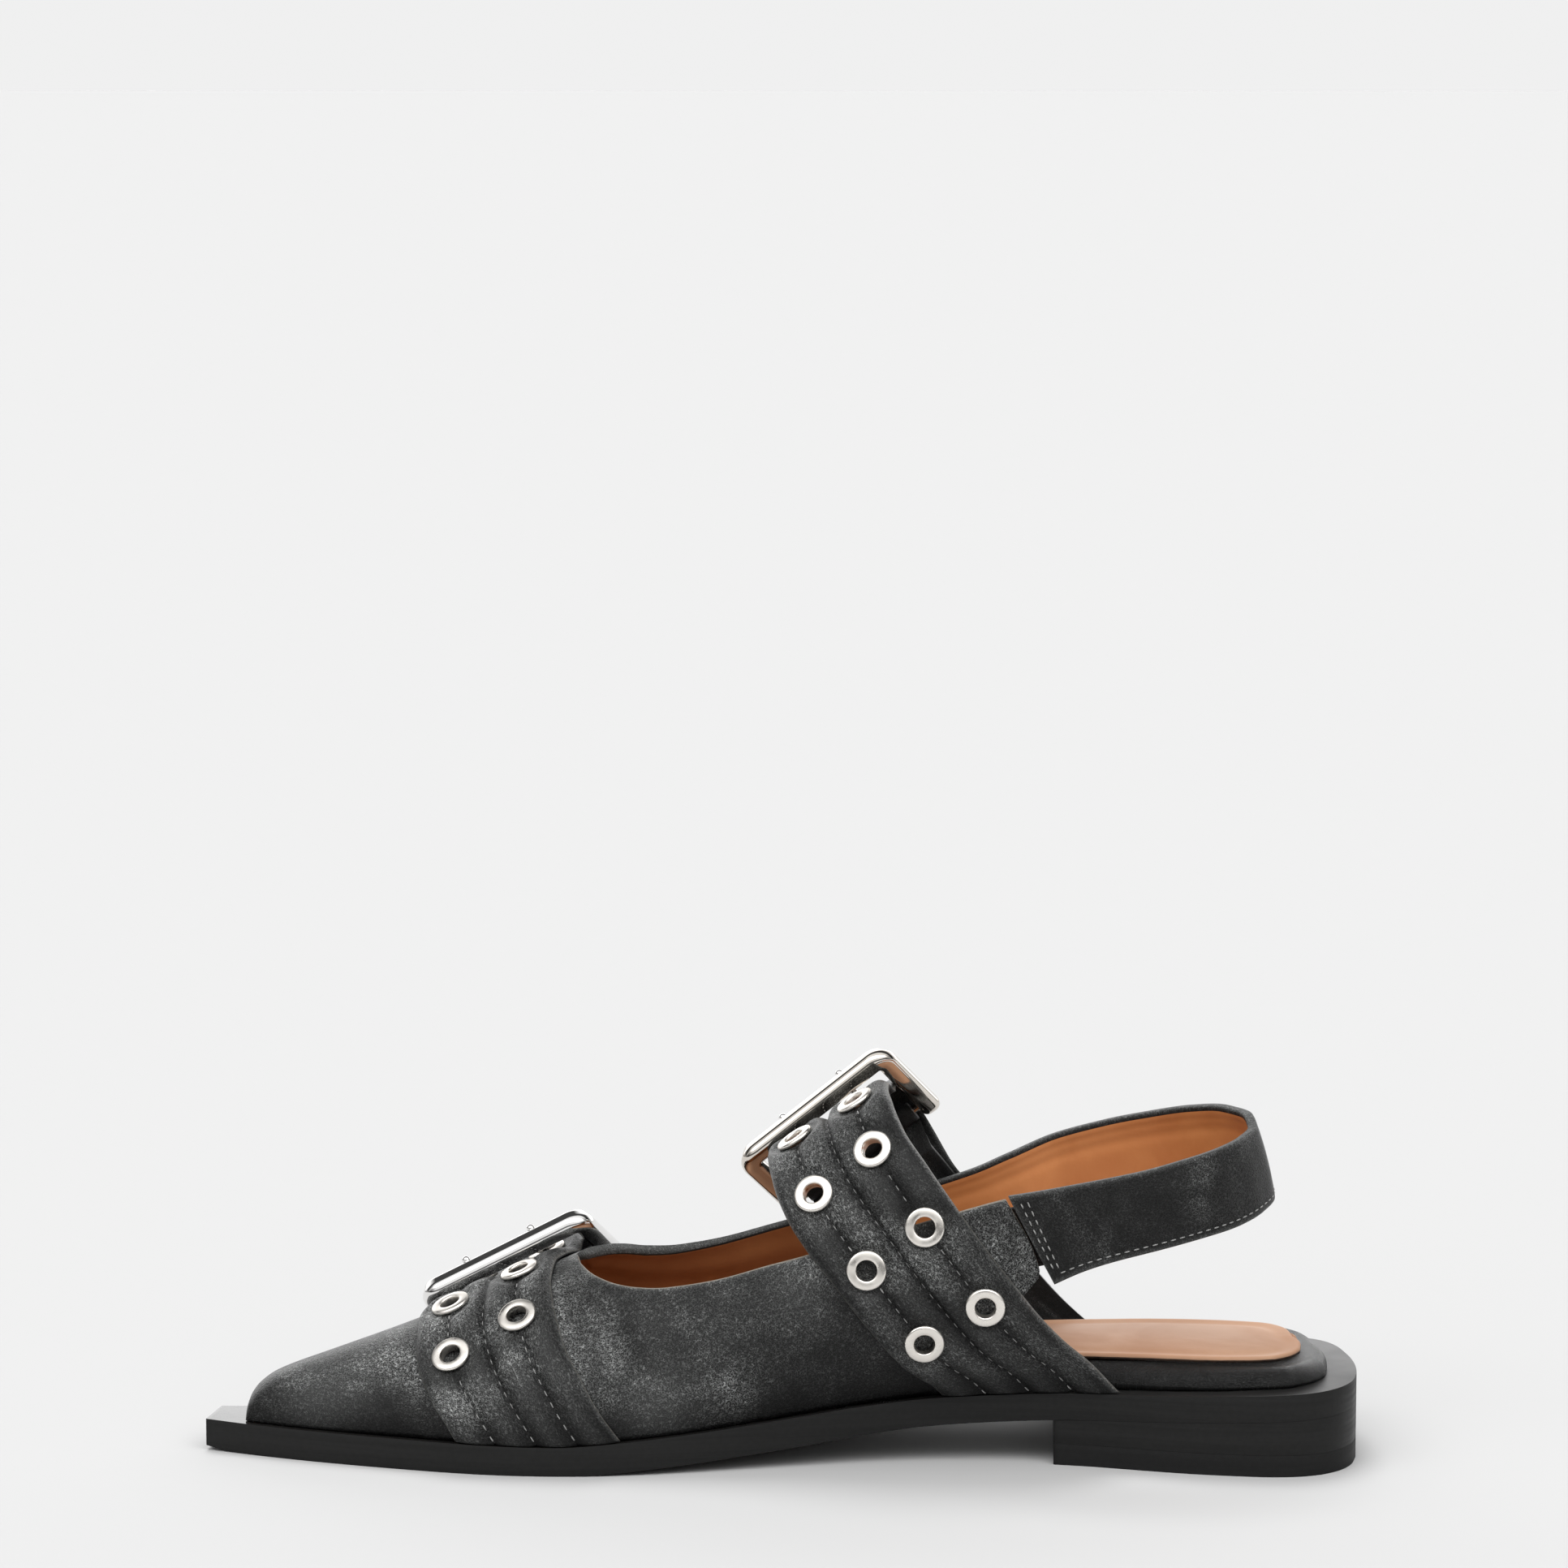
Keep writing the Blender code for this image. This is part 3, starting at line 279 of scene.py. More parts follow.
def smoothLeather(name, light, dark, rough, scale, shine=0.35, hem=None):
    f = Finish(name)
    spot = f.spot()
    shade = f.spread(f.noise(spot, scale, 4.0, 0.4), 0.3, 0.7, 0.0, 1.0)
    body = f.blend(shade, dark, light)
    if hem:  # black leather turned in, that deep
        soft = tanMake["hemSoft"]
        body = f.blend(f.spread(f.painted("hem"), hem - soft, hem + soft, 0.0, 1.0), leather["black"], body)
    pores = f.add("TexVoronoi", {"Vector": spot, "Scale": tanMake["pores"]}, "Distance", feature="F1")
    height = f.plus(f.times(pores, 0.5), f.times(f.noise(spot, tanMake["wrinkles"], 3.0, 0.6), 0.6))
    dull = f.spread(shade, 0, 1, rough + 0.06, rough - 0.04, "LINEAR")
    return f.shade({"Base Color": body, "Roughness": dull, "Specular IOR Level": shine,
                    "Normal": f.bump(height, 0.4, tanMake["depth"])})


def soleFinish(name, colour, rough, lineScale, shine, heelHaze=0.0):
    f = Finish(name)
    lines = f.noise(f.spot(scale=(14, 14, lineScale)), 1.0, 4.0, 0.2, 0.65)
    specks = f.noise(f.spot(), 900, 3.0)
    tone = f.spread(f.plus(f.times(lines, 0.7), f.times(specks, 0.3)), 0.35, 0.65, 0.0, 1.0)
    dull = f.spread(lines, 0.3, 0.7, rough - 0.06, rough + 0.08)
    if heelHaze:  # duller towards the heel
        along = f.add("SeparateXYZ", {"Vector": f.spot()}, "X")
        dull = f.plus(dull, f.spread(along, -0.1, 0.1, 0.0, heelHaze))
    height = f.plus(lines, f.times(specks, 0.4))
    return f.shade({"Base Color": f.blend(tone, tint(colour, 0.88), tint(colour, 1.14)), "Roughness": dull,
                    "Specular IOR Level": shine, "Normal": f.bump(height, 0.3, 0.0001)})


def metalFinish(name, colour, rough):
    f = Finish(name)
    spot = f.spot()
    haze = f.noise(spot, 260, 3.0)
    body = f.blend(f.spread(haze, 0.3, 0.7, 0, 1), tint(colour, 0.94), colour)
    return f.shade({"Metallic": 1.0, "Base Color": body,
                    "Roughness": f.spread(haze, 0.35, 0.65, rough * 0.7, rough * 1.4),
                    "Normal": f.bump(f.noise(spot, 190), 0.08, 0.0002)})


def elasticFinish(name):
    f = Finish(name)
    ribs = f.add("TexWave", {"Vector": f.spot(), "Scale": 320, "Distortion": 0.6}, 1, bands_direction="Z")
    return f.shade({"Base Color": f.blend(ribs, [0.004] * 3, [0.02] * 3), "Roughness": 0.85,
                    "Normal": f.bump(ribs, 0.6, 0.0003)})


def threadFinish(name, colour):
    f = Finish(name)
    twist = f.add("TexWave", {"Vector": f.spot(), "Scale": 900}, 1, bands_direction="DIAGONAL")
    return f.shade({"Base Color": f.blend(twist, tint(colour, 0.6), colour), "Roughness": 0.7})


finishes = {
    # more light rub lines on the upper and toe strap, which also paint the sheen of their lit faces
    "upper": rubbedLeather("rubbed_upper_leather", share=1.5, edgeWear=0.8),
    "toeStrap": rubbedLeather("rubbed_toe_strap_leather", (0.31, 0.17, 0.05), 1.7, (0.6, 1.25), 0.2),
    "instepStrap": rubbedLeather("rubbed_strap_leather", (0.13, 0.41, 0.05), 0.9, (0.6, 1.25), 0.2),
    "sling": rubbedLeather("rubbed_sling_leather", (0.11, 0.47, 0.21), 0.6, (0.9, 1.0), 0.6),
    "rim": rubbedLeather("wrapped_rim_leather", (0.7, 0.2, 0.4), 0.12, (1.2, 0.8), gloss=(0.17, 0.26)),
    "fold": rubbedLeather("folded_edge_leather", (0.2, 0.6, 0.1), 0.06, source="Object", gloss=(0.4, 0.09)),
    "under": rubbedLeather("buckle_strap_leather", (0.5, 0.5, 0.5), 0.3),
    "raw": smoothLeather("raw_leather_edge", (0.3, 0.255, 0.205), (0.13, 0.11, 0.09), 0.7, 700),
    # one tan lining in two copies: lighter on the sling as painted light, darker in the throat as painted
    # shade
    "slingLining": smoothLeather("tan_sling_lining", (0.58, 0.23, 0.077), (0.48, 0.17, 0.053), 0.5, 60),
    "lining": smoothLeather("tan_lining", (0.37, 0.142, 0.048), (0.3, 0.106, 0.034), 0.5, 60, hem=0.7),
    "sock": smoothLeather("tan_sock", (0.46, 0.275, 0.175), (0.38, 0.212, 0.128), 0.55, 45, shine=0.2),
    "sockEdge": smoothLeather("dark_sock_edge", (0.06, 0.033, 0.02), (0.02, 0.012, 0.009), 0.6, 300),
    "sole": soleFinish("painted_sole_edge", (0.016, 0.016, 0.0158), 0.46, 900, 0.12),
    "ledge": soleFinish("polished_sole_ledge", (0.012, 0.0118, 0.0115), 0.12, 300, 0.4, 0.27),
    "heel": soleFinish("painted_heel_stack", (0.016, 0.016, 0.0158), 0.44, 700, 0.12),
    "lift": soleFinish("rubber_top_lift", (0.014, 0.014, 0.014), 0.56, 500, 0.12),
    "chrome": metalFinish("polished_chrome", (0.86, 0.85, 0.84), 0.06),
    "warmChrome": metalFinish("warm_chrome", (0.74, 0.69, 0.63), 0.06),
    "nickel": metalFinish("polished_nickel", (0.93, 0.89, 0.83), 0.32),
    "elastic": elasticFinish("woven_elastic"),
    "greyThread": threadFinish("grey_thread", (0.38, 0.38, 0.372)),
    "tanThread": threadFinish("tan_thread", (0.34, 0.14, 0.05)),
    # black beads in the needle holes, painted shade
    "holeShade": threadFinish("needle_pits", (0.003, 0.003, 0.003))}
print("finishes made:", len(finishes))


# a fresh grid in the body, with each vertex's place on it from 0 to 1
def newGrid(body, columns, rows):
    known = set(body.verts)
    bmesh.ops.create_grid(body, x_segments=columns, y_segments=rows, size=0.5)
    fresh = [v for v in body.verts if v not in known]
    return fresh, np.array([(v.co.x + 0.5, v.co.y + 0.5) for v in fresh])


def asObject(name, body, materials):
    mesh = bpy.data.meshes.new(name)
    for f in body.faces:
        f.smooth = True
    body.to_mesh(mesh)
    body.free()
    for material in materials:
        mesh.materials.append(material)
    made = bpy.data.objects.new(name, mesh)
    bpy.context.scene.collection.objects.link(made)
    return made


def asPiece(name, body, looks):
    made = asObject(name, body, [finishes[look] for look in looks])
    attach(made, "root")
    return made


# a piece between two surfaces over one grid; lay is its run and width in metres, for the grain
def slab(name, size, low, high, looks, drop=None, edge=None, inside=None, wearAndSheen=None, paintedShade=None,
         lay=(0.1, 0.1)):
    body = bmesh.new()
    number = body.verts.layers.int.new("number")
    rubbedAndSheen, shadePaint = (body.verts.layers.float.new(key) for key in ("wearAndSheen", "paintedShade"))
    verts, flat = newGrid(body, *size)
    u, v = flat.T
    lowPoints, highPoints = toFrame(low(u, v)), toFrame(high(u, v))
    rubsAndSheen, shadePaints = (np.zeros(len(u)) if way is None else way(u, v) for way in (wearAndSheen, paintedShade))
    for i, vert in enumerate(verts):
        vert[number], vert[rubbedAndSheen], vert[shadePaint] = i, rubsAndSheen[i], shadePaints[i]
        vert.co = lowPoints[i]

    def centre(face):
        return np.mean([flat[vert[number]] for vert in face.verts], axis=0)
    if drop is not None:
        gone = drop(*np.array([centre(f) for f in body.faces]).T)
        bmesh.ops.delete(body, geom=[f for f, out in zip(body.faces, gone) if out], context="FACES")
    old = set(body.verts)
    for part in bmesh.ops.extrude_face_region(body, geom=body.faces[:])["geom"]:
        if isinstance(part, bmesh.types.BMVert):
            part.co = highPoints[part[number]]
    bmesh.ops.recalc_face_normals(body, faces=body.faces)
    grain = body.loops.layers.uv.new("lay")
    for f in body.faces:
        olds = sum(vert in old for vert in f.verts)
        f.material_index = 0 if olds == 0 else (1 if olds == len(f.verts) else 2)
        if f.material_index == 1 and inside is not None:
            f.material_index = inside(*centre(f))
        for corner in f.loops:
            corner[grain].uv = flat[corner.vert[number]] * lay
    if edge:
        sharp = [e for e in body.edges if len(e.link_faces) == 2
                 and sum(f.material_index == 2 for f in e.link_faces) == 1]
        bmesh.ops.bevel(body, geom=sharp, offset=edge * mm, segments=3, profile=0.5, affect="EDGES",
                        material=-1, clamp_overlap=True)
    return asPiece(name, body, looks)


def dense(v):
    return 0.5 - 0.5 * np.cos(np.pi * np.clip(v, 0, 1))


# sole: outsole, heel block, top lift, wrapped footbed and sock
soleMake = {"stations": (5, 10, 15, 21, 28, 35, 42, 50, 58, 66, 74, 82, 90, 98, 106, 115, 124, 133, 142, 151,
                         160, 172, 185, 198, 206, 214, 222, 230, 238, 247),
            "heelBack": [(253.0, -29.9, 252.5, 28.9), (258.0, -28.2, 257.0, 27.4),
                         (262.0, -25.3, 260.6, 24.9), (265.0, -21.4, 263.4, 21.3),
                         (267.0, -16.6, 265.4, 16.4), (268.1, -10.5, 266.9, 9.5)],
            "centre": (240.0, -0.6), "breast": 198.0, "lift": 5.0, "seam": 0.05, "start": 1.2,
            "toeCut": (0.6, 2.4), "edge": 0.3, "blockEdge": 0.1, "liftEdge": 0.14, "grid": (150, 16),
            "heelGrid": (70, 16), "cornerIn": 1.04, "frontRoom": 2.0, "backRoom": 6.0, "roundBack": 0.7,
            "roundFrom": 0.8, "rimSteps": (260, 60, 40), "lay": (0.27, 0.07)}


# narrow draws the back end in, so that it turns rounder than the sole
def ladder(start, inset, narrow=0.0):
    back = []
    for number, row in enumerate(soleMake["heelBack"], 1):
        pair = []
        for spot in (np.array(row[:2]), np.array(row[2:])):
            inward = unit(spot - soleMake["centre"]) * float(inset(spot[0]))
            pair.append(spot - inward * soleMake["cornerIn"])
        (nearX, nearY), (farX, farY) = pair
        drawn = (farY - nearY) * (narrow * (number / len(soleMake["heelBack"])) ** 2) / 2
        back.append((nearX, nearY + drawn, farX, farY - drawn))
    backStart = back[0][2] - (soleMake["backRoom"] if narrow else 0.0)
    stations = [x for x in soleMake["stations"] if start + soleMake["frontRoom"] < x < backStart]
    rows = []
    for x in [start] + stations:
        step = float(inset(x))
        rows.append((x, float(soleSides["near"](x)) + step, x, float(soleSides["far"](x)) - step))
    return np.array(rows + back)


def plan(rows):
    cols = columnsOf(rows)

    def at(u, v):
        nearX, nearY, farX, farY = (c(u * (len(rows) - 1)) for c in cols)
        bulge = soleMake["roundBack"] * ramp(u, soleMake["roundFrom"], 1.0) * (1 - (2 * v - 1) ** 2)
        return nearX + (farX - nearX) * v + bulge, nearY + (farY - nearY) * v
    sides, back, front = soleMake["rimSteps"]
    run = np.linspace(0, 1, sides)
    rim = [at(run, np.zeros(sides)), at(np.ones(back), np.linspace(0, 1, back)),
           at(run[::-1], np.ones(sides)), at(np.zeros(front), np.linspace(1, 0, front))]
    return at, np.concatenate([np.stack(part, -1) for part in rim])


# how far each point lies in from the outline
def insideBy(points, outline):
    a, b = outline, np.roll(outline, -1, axis=0)
    d = b - a
    length = np.maximum((d * d).sum(-1), 1e-9)
    away = np.full(len(points), 1e9)
    for i in range(len(a)):
        t = np.clip(((points - a[i]) @ d[i]) / length[i], 0, 1)
        away = np.minimum(away, np.linalg.norm(points - a[i] - t[:, None] * d[i], axis=1))
    return away


def soleSlab(name, rows, size, low, high, looks, edge, crown=None):
    at, outline = plan(rows)

    def surface(heights, crown=None):
        def points(u, v):
            x, y = at(u, dense(v))
            z = heights(x)
            if crown is not None:
                z = z + crown(x, insideBy(np.stack([x, y], -1), outline))
            return np.stack([x, y, z], -1)
        return points
    return slab(name, size, surface(low), surface(high, crown), looks, edge=edge, lay=soleMake["lay"])


def flush(x):
    return 0.0


toeRows, heelRows = ladder(soleMake["start"], flush), ladder(soleMake["breast"], flush)
toeRows[0, 0], toeRows[0, 2] = soleMake["toeCut"]
outsole = soleSlab("outsolePiece", toeRows, soleMake["grid"], profile["bottom"], profile["top"],
                   ("ledge", "sole", "sole"), soleMake["edge"])
heelBlock = soleSlab("heelBlockPiece", heelRows, soleMake["heelGrid"],
                     lambda x: np.full_like(x, soleMake["lift"] + soleMake["seam"]),
                     lambda x: profile["bottom"](x) - soleMake["seam"], ("heel",) * 3, soleMake["blockEdge"])
topLift = soleSlab("topLiftPiece", heelRows, soleMake["heelGrid"], np.zeros_like,
                   lambda x: np.full_like(x, soleMake["lift"]), ("lift",) * 3, soleMake["liftEdge"])
for piece, node, slot in ((outsole, "outsole", "sole"), (heelBlock, "heel_block", "heel"),
                          (topLift, "top_lift", "lift")):
    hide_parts(node)

bedMake = {"start": 14.5, "roll": 4.6, "flat": 0.4, "narrow": 0.12, "grid": (170, 44),
           "sockStart": 17.5, "sockRoll": 0.8, "sockThick": 1.3, "sockCrown": 0.7, "crownRun": (3, 16),
           "trough": 0.45, "troughIn": 3.6, "troughWide": 1.9, "sockNarrow": 0.2, "sockGrid": (150, 40)}
bedThick = curves(("thick",), [(14, 2.6), (60, 3.0), (110, 3.6), (150, 5.0), (190, 6.0), (215, 5.8),
                               (245, 4.6), (265, 3.9)])["thick"]
bedInset = curves(("inset",), [(14, 4.4), (215, 4.4), (240, 5.0), (253, 6.0), (260, 6.8), (265, 7.0),
                               (269, 6.8)])["inset"]
sockInset = curves(("inset",), [(16, 6.4), (170, 6.4), (205, 7.6), (222, 8.8), (240, 10.4), (253, 12.2),
                                (260, 13.4), (265, 13.6), (269, 12.8)])["inset"]


def bedLow(x):
    return profile["top"](x) + shoe["gap"]


def bedTop(x):
    return bedLow(x) + bedThick(x)


def sockLow(x):
    return bedTop(x) + shoe["gap"]


def rolled(radius, d):
    return radius * (quarterRound(d / radius) - 1)


def bedRoll(x, d):
    return rolled(np.minimum(bedMake["roll"], bedThick(x) - bedMake["flat"]), d)


def sockRoll(x, d):
    # a pressed line inside the lip
    trough = bedMake["trough"] * bell(d, bedMake["troughIn"], bedMake["troughWide"])
    return rolled(bedMake["sockRoll"], d) + bedMake["sockCrown"] * ramp(d, *bedMake["crownRun"]) - trough


footbed = soleSlab("footbedPiece", ladder(bedMake["start"], bedInset, bedMake["narrow"]), bedMake["grid"],
                   bedLow, bedTop, ("rim",) * 3, None, bedRoll)
sock = soleSlab("sockPiece", ladder(bedMake["sockStart"], sockInset, bedMake["sockNarrow"]),
                bedMake["sockGrid"], sockLow, lambda x: sockLow(x) + bedMake["sockThick"],
                ("sock", "sock", "sockEdge"), None, sockRoll)
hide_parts("footbed")
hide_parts("sock_lining")
print("sole and footbed made")

# upper: vamp and quarters over the last, tan inside
upperMake = {"rows": (10.0, 10.12, 10.5, 11.4, 13.3, 16.2, 20, 26, 33, 41, 49, 57, 65, 73, 80, 86.4, 87.3,
                      88.8, 91, 94, 98, 103, 110, 120, 130, 140),
             "perRow": 6, "columns": 30, "rearSteps": 40, "quarter": 140.0, "wall": 1.8, "weld": 0.02,
             "throat": 86.3, "opens": (86.2, 88.0), "lineRuns": ((86.4, 92.0, 40), (92.5, 196.0, 150)),
             # swellings of the wall: height, distance from the topline, width
             "pad": (0.6, 7.0, 2.6), "hollow": (0.5, 12.5, 2.0), "frontFold": 0.8, "foldDeep": 3.0,
             "foldRun": (96, 125), "shadePaint": 0.95, "shadeTall": 9.0, "edgeRub": 0.7, "sideSpot": (60, -28, 16),
             "layFrom": 0.1, "girthSteps": 24,
             # rubbed spots, with painted sheen on the mid vamp: x, place, reach, strength
             "rubsAndSheen": [(27.0, -0.62, 9.0, 0.55), (38.0, -0.45, 8.0, 0.3), (107.0, -0.87, 8.0, 0.6),
                      (139.0, -0.6, 9.0, 0.45), (118.0, -0.72, 12.0, 0.22)],
             # soft creases: x, place, half length along, half width up, turn, depth
             "creases": [(24.0, -0.62, 7.0, 1.6, 20, -0.16), (30.0, -0.5, 8.0, 1.8, 12, 0.14),
                         (37.0, -0.72, 9.0, 2.0, -8, -0.15), (97.0, -0.6, 8.0, 4.2, -55, -1.25),
                         (105.0, -0.66, 13.0, 4.6, -62, 1.0), (114.0, -0.78, 12.0, 4.6, -40, -0.85),
                         (124.0, -0.7, 13.0, 5.2, -58, 0.8), (93.0, -0.84, 9.0, 3.0, -50, 0.3),
                         (100.0, 0.7, 10.0, 4.0, 50, -0.45), (112.0, 0.75, 12.0, 4.5, 55, 0.4),
                         (138.0, -0.82, 12.0, 4.0, -30, -0.3), (28.0, 0.6, 7.0, 1.6, -18, -0.15)]}
topline = curves(("near", "far"), [
    (86.4, 1.0, 1.0), (87.2, 0.893, 0.95), (88.5, 0.825, 0.89), (90.5, 0.756, 0.825), (92.8, 0.703, 0.772),
    (96.5, 0.642, 0.693), (101, 0.593, 0.612), (109, 0.541, 0.538), (120, 0.508, 0.5), (131, 0.496, 0.487),
    (140, 0.478, 0.47), (160, 0.451, 0.435), (177, 0.444, 0.42), (196, 0.456, 0.43)])
quarterRear = smoothCurve((0.0, 0.3, 0.44, 0.55, 0.62, 0.7, 1.0),
                          (184.0, 184.5, 187.0, 192.0, 194.6, 193.6, 186.6))


def creased(x, place, points):
    height = np.zeros(len(x))
    for cx, cp, along, across, turn, depth in upperMake["creases"]:
        centre = lastPoint(cx, cp)
        off = points - centre
        up = off @ unit(lastPoint(cx, cp + 0.01 * (1 if cp < 0 else -1)) - centre)
        c, s = math.cos(math.radians(turn)), math.sin(math.radians(turn))
        a, b = off[:, 0] * c + up * s, up * c - off[:, 0] * s
        sameSide = np.sign(place) == np.sign(cp)
        height += np.where(sameSide, depth * np.exp(-(a / along) ** 2 - (b / across) ** 2), 0)
    return points + lastNormal(x, place) * height[:, None]


def makeUpper():
    make, rows = upperMake, upperMake["rows"]
    spans = len(rows) - 1
    xs = smoothCurve(np.arange(len(rows)), rows)(np.linspace(0, spans, spans * make["perRow"] + 1))
    front, rear = len(xs) - 1, make["rearSteps"]
    lineX = np.concatenate([np.linspace(*run) for run in make["lineRuns"]])
    thickest = make["wall"] + make["frontFold"]
    body = bmesh.new()
    rubbedAndSheen, shadePaint, hem = (body.verts.layers.float.new(key) for key in ("wearAndSheen", "paintedShade", "hem"))
    deform, grain = body.verts.layers.deform.new(), body.loops.layers.uv.new("lay")
    for side, sign in (("near", -1), ("far", 1)):
        fresh, flat = newGrid(body, front + rear, make["columns"])
        index = np.round(flat[:, 0] * (front + rear)).astype(int)
        back = (quarterRear(flat[:, 1]) - make["quarter"]) * np.maximum(index - front, 0) / rear
        x = np.where(index <= front, xs[np.minimum(index, front)], make["quarter"] + back)
        place = sign * (1 - topline[side](x) * flat[:, 1])
        place = np.where(np.abs(place) < 1e-6, 0.0, place)
        points = lastPoint(x, np.where((place == 0) & (sign < 0), -1e-9, place))
        line = lastPoint(lineX, sign * (1 - topline[side](lineX)))
        fromTop = np.array([np.linalg.norm(line - p, axis=1).min() for p in points])
        fromTop = np.where((flat[:, 1] > 0.999) & (x > make["throat"]), 0.0, fromTop)
        turns = lastPoint(x[None, :], sign * np.linspace(1, 0.0001, make["girthSteps"])[:, None])
        girth = np.linalg.norm(np.diff(turns, axis=0), axis=2).sum(0) * (1 - np.abs(place))
        lay = np.stack([x * mm, sign * (make["layFrom"] - girth * mm)], -1)
        opened = ramp(x, *make["opens"])
        # rubbed spots and painted sheen, lighter patches of rub lines
        rubsAndSheen = np.zeros(len(x))
        for cx, cp, wide, much in make["rubsAndSheen"]:
            if cp * sign > 0:
                rubsAndSheen += much * bell(np.linalg.norm(points - lastPoint(cx, cp), axis=1), 0, wide)
        wearsAndSheen = np.maximum(opened * bell(fromTop, 0, make["edgeRub"]), rubsAndSheen)
        # painted shade, darker towards the sole
        shadePaints = make["shadePaint"] * bell(points[:, 2], profile["top"](x), make["shadeTall"])
        (pad, padAt, padWide), (hollow, hollowAt, hollowWide) = make["pad"], make["hollow"]
        swell = bell(fromTop, padAt, padWide) - hollow * bell(fromTop, hollowAt, hollowWide)
        thick = make["wall"] + opened * pad * swell
        if sign > 0:
            folded = make["frontFold"] * bell(fromTop, 0, make["foldDeep"])
            thick = thick + opened * folded * (1 - ramp(x, *make["foldRun"]))
        spots = toFrame(creased(x, place, points))
        layOf = {}
        for i, v in enumerate(fresh):
            v.co, v[rubbedAndSheen], v[shadePaint], v[hem] = spots[i], wearsAndSheen[i], shadePaints[i], fromTop[i]
            v[deform][0] = thick[i] / thickest
            layOf[v] = lay[i]
        for f in {f for v in fresh for f in v.link_faces}:
            f.material_index = 0 if sign < 0 else 3
            for corner in f.loops:
                corner[grain].uv = layOf[corner.vert]
    bmesh.ops.remove_doubles(body, verts=body.verts, dist=make["weld"] * mm)
    bmesh.ops.recalc_face_normals(body, faces=body.faces)
    sideSpot = Vector(toFrame(make["sideSpot"]))
    sideFace = min(body.faces, key=lambda f: (f.calc_center_median() - sideSpot).length)
    if sideFace.normal.y > 0:
        bmesh.ops.reverse_faces(body, faces=body.faces)
    made = asPiece("upperPiece", body, ("upper", "lining", "raw", "upper", "lining", "fold"))
    made.vertex_groups.new(name="wall")
    wall = made.modifiers.new("wall", "SOLIDIFY")
    wall.thickness = thickest * mm
    wall.vertex_group = "wall"
    wall.offset = -1.0
    wall.use_even_offset = True
    wall.material_offset = 1
    wall.material_offset_rim = 2
    return made


upper = makeUpper()
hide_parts("upper")
print("upper made")

# straps: eyelet straps, their eyelets, buckles and the straps that hold them
strapMake = {"gap": 0.45, "edge": 1.4, "valley": 1.8, "crown": 2.7, "foot": 1.2, "footFull": 0.85,
             "footRun": (14, 30), "press": 0.34, "pressRun": 5.0, "eyeletRows": {"front": 0.25, "rear": 0.75},
             "pitch": 20.0, "seatDown": 0.3, "middle": 1.3, "rungs": {"toe": (4, 6), "instep": (4, 6, 8, 10)},
             "barRun": {"toe": 12.5, "instep": 12.0}, "tailPairs": {"toe": (9.5,), "instep": (9.5, 27.0)},
             "tail": {"toe": 17.0, "instep": 37.0}, "under": 2.0, "shares": (0.0, 0.25, 0.5, 0.75, 1.0),
             "swell": 0.7, "edgeShare": 0.06, "rungSteps": 60, "probe": (0.4, 0.01),
             # runs from the near and far bars where the strap climbs, passes over the bar and lies down again
             "climb": (1.5, 9.0), "hump": (6.0, -4.0, 2.0), "settle": 15.0, "beyond": 80.0}
frameMake = {"run": 20.5, "half": 20.6, "bar": 4.0, "tall": 4.6, "corner": 3.4, "rod": 1.1, "rodPast": 0.8,
             "cut": 28.0, "cutAt": 1.85, "squareness": 2.8, "heavier": 0.55, "tipRound": 2.0, "prong": 0.85,
             "fold": 1.1, "overStrap": 3.0, "past": {"toe": 2.4, "instep": 3.8},
             "roll": {"toe": 0.0, "instep": 8.0}, "yaw": {"toe": 0.0, "instep": -7.0},
             "aside": {"toe": 1.0, "instep": -0.3}, "look": {"toe": "chrome", "instep": "warmChrome"},
             "steps": {"arm": 40, "corner": 14, "bar": 50, "rod": 24}, "around": 40, "rodAround": 16,
             "tries": 3,
             # spots under the near bar and under the arms that the frame has to clear
             "nearRuns": (-2.0, 0.0, 2.6), "nearShares": (0.03, 0.125, 0.375, 0.5, 0.625, 0.875, 0.97),
             "armRuns": (-4.0, 0.0, 3.0), "armShares": (-0.14, 1.14)}
frameMake["clear"] = frameMake["rod"] + shoe["gap"] + 2 * frameMake["prong"]
strapRungs = {
    "toe": [
        (60.9, -1.0, 98.8, -1.0), (58.3, -0.88, 93.4, -0.85), (56.1, -0.80, 89.4, -0.71),
        (54.2, -0.70, 85.8, -0.575), (52.1, -0.58, 82.2, -0.33), (50.6, -0.40, 81.4, -0.20),
        (50.3, -0.17, 81.8, -0.02), (53.0, 0.08, 85.0, 0.12), (55.6, 0.30, 87.4, 0.24),
        (57.6, 0.50, 89.6, 0.38), (59.6, 0.66, 92.2, 0.54), (61.6, 0.80, 95.2, 0.70),
        (63.6, 0.91, 98.6, 0.85), (65.6, 1.0, 102.6, 1.0)],
    "instep": [
        (172.6, -1.0, 213.4, -1.0), (169.6, -0.96, 206.8, -0.923), (166.6, -0.934, 200.1, -0.865),
        (163.7, -0.906, 194.4, -0.805), (161.0, -0.869, 189.2, -0.74), (154.4, -0.764, 181.9, -0.645),
        (148.3, -0.654, 175.1, -0.538), (141.1, -0.511, 169.0, -0.422), (136.5, -0.38, 163.4, -0.284),
        (133.4, -0.224, 160.8, -0.16), (131.8, -0.03, 159.6, -0.04), (132.0, 0.12, 159.8, 0.08),
        (133.4, 0.28, 161.0, 0.20), (136.5, 0.42, 163.6, 0.32), (141.1, 0.55, 168.0, 0.44),
        (148.0, 0.68, 174.5, 0.56), (154.4, 0.78, 181.5, 0.66), (161.0, 0.875, 189.0, 0.755),
        (166.6, 0.94, 199.5, 0.875), (172.0, 1.0, 213.0, 1.0)]}


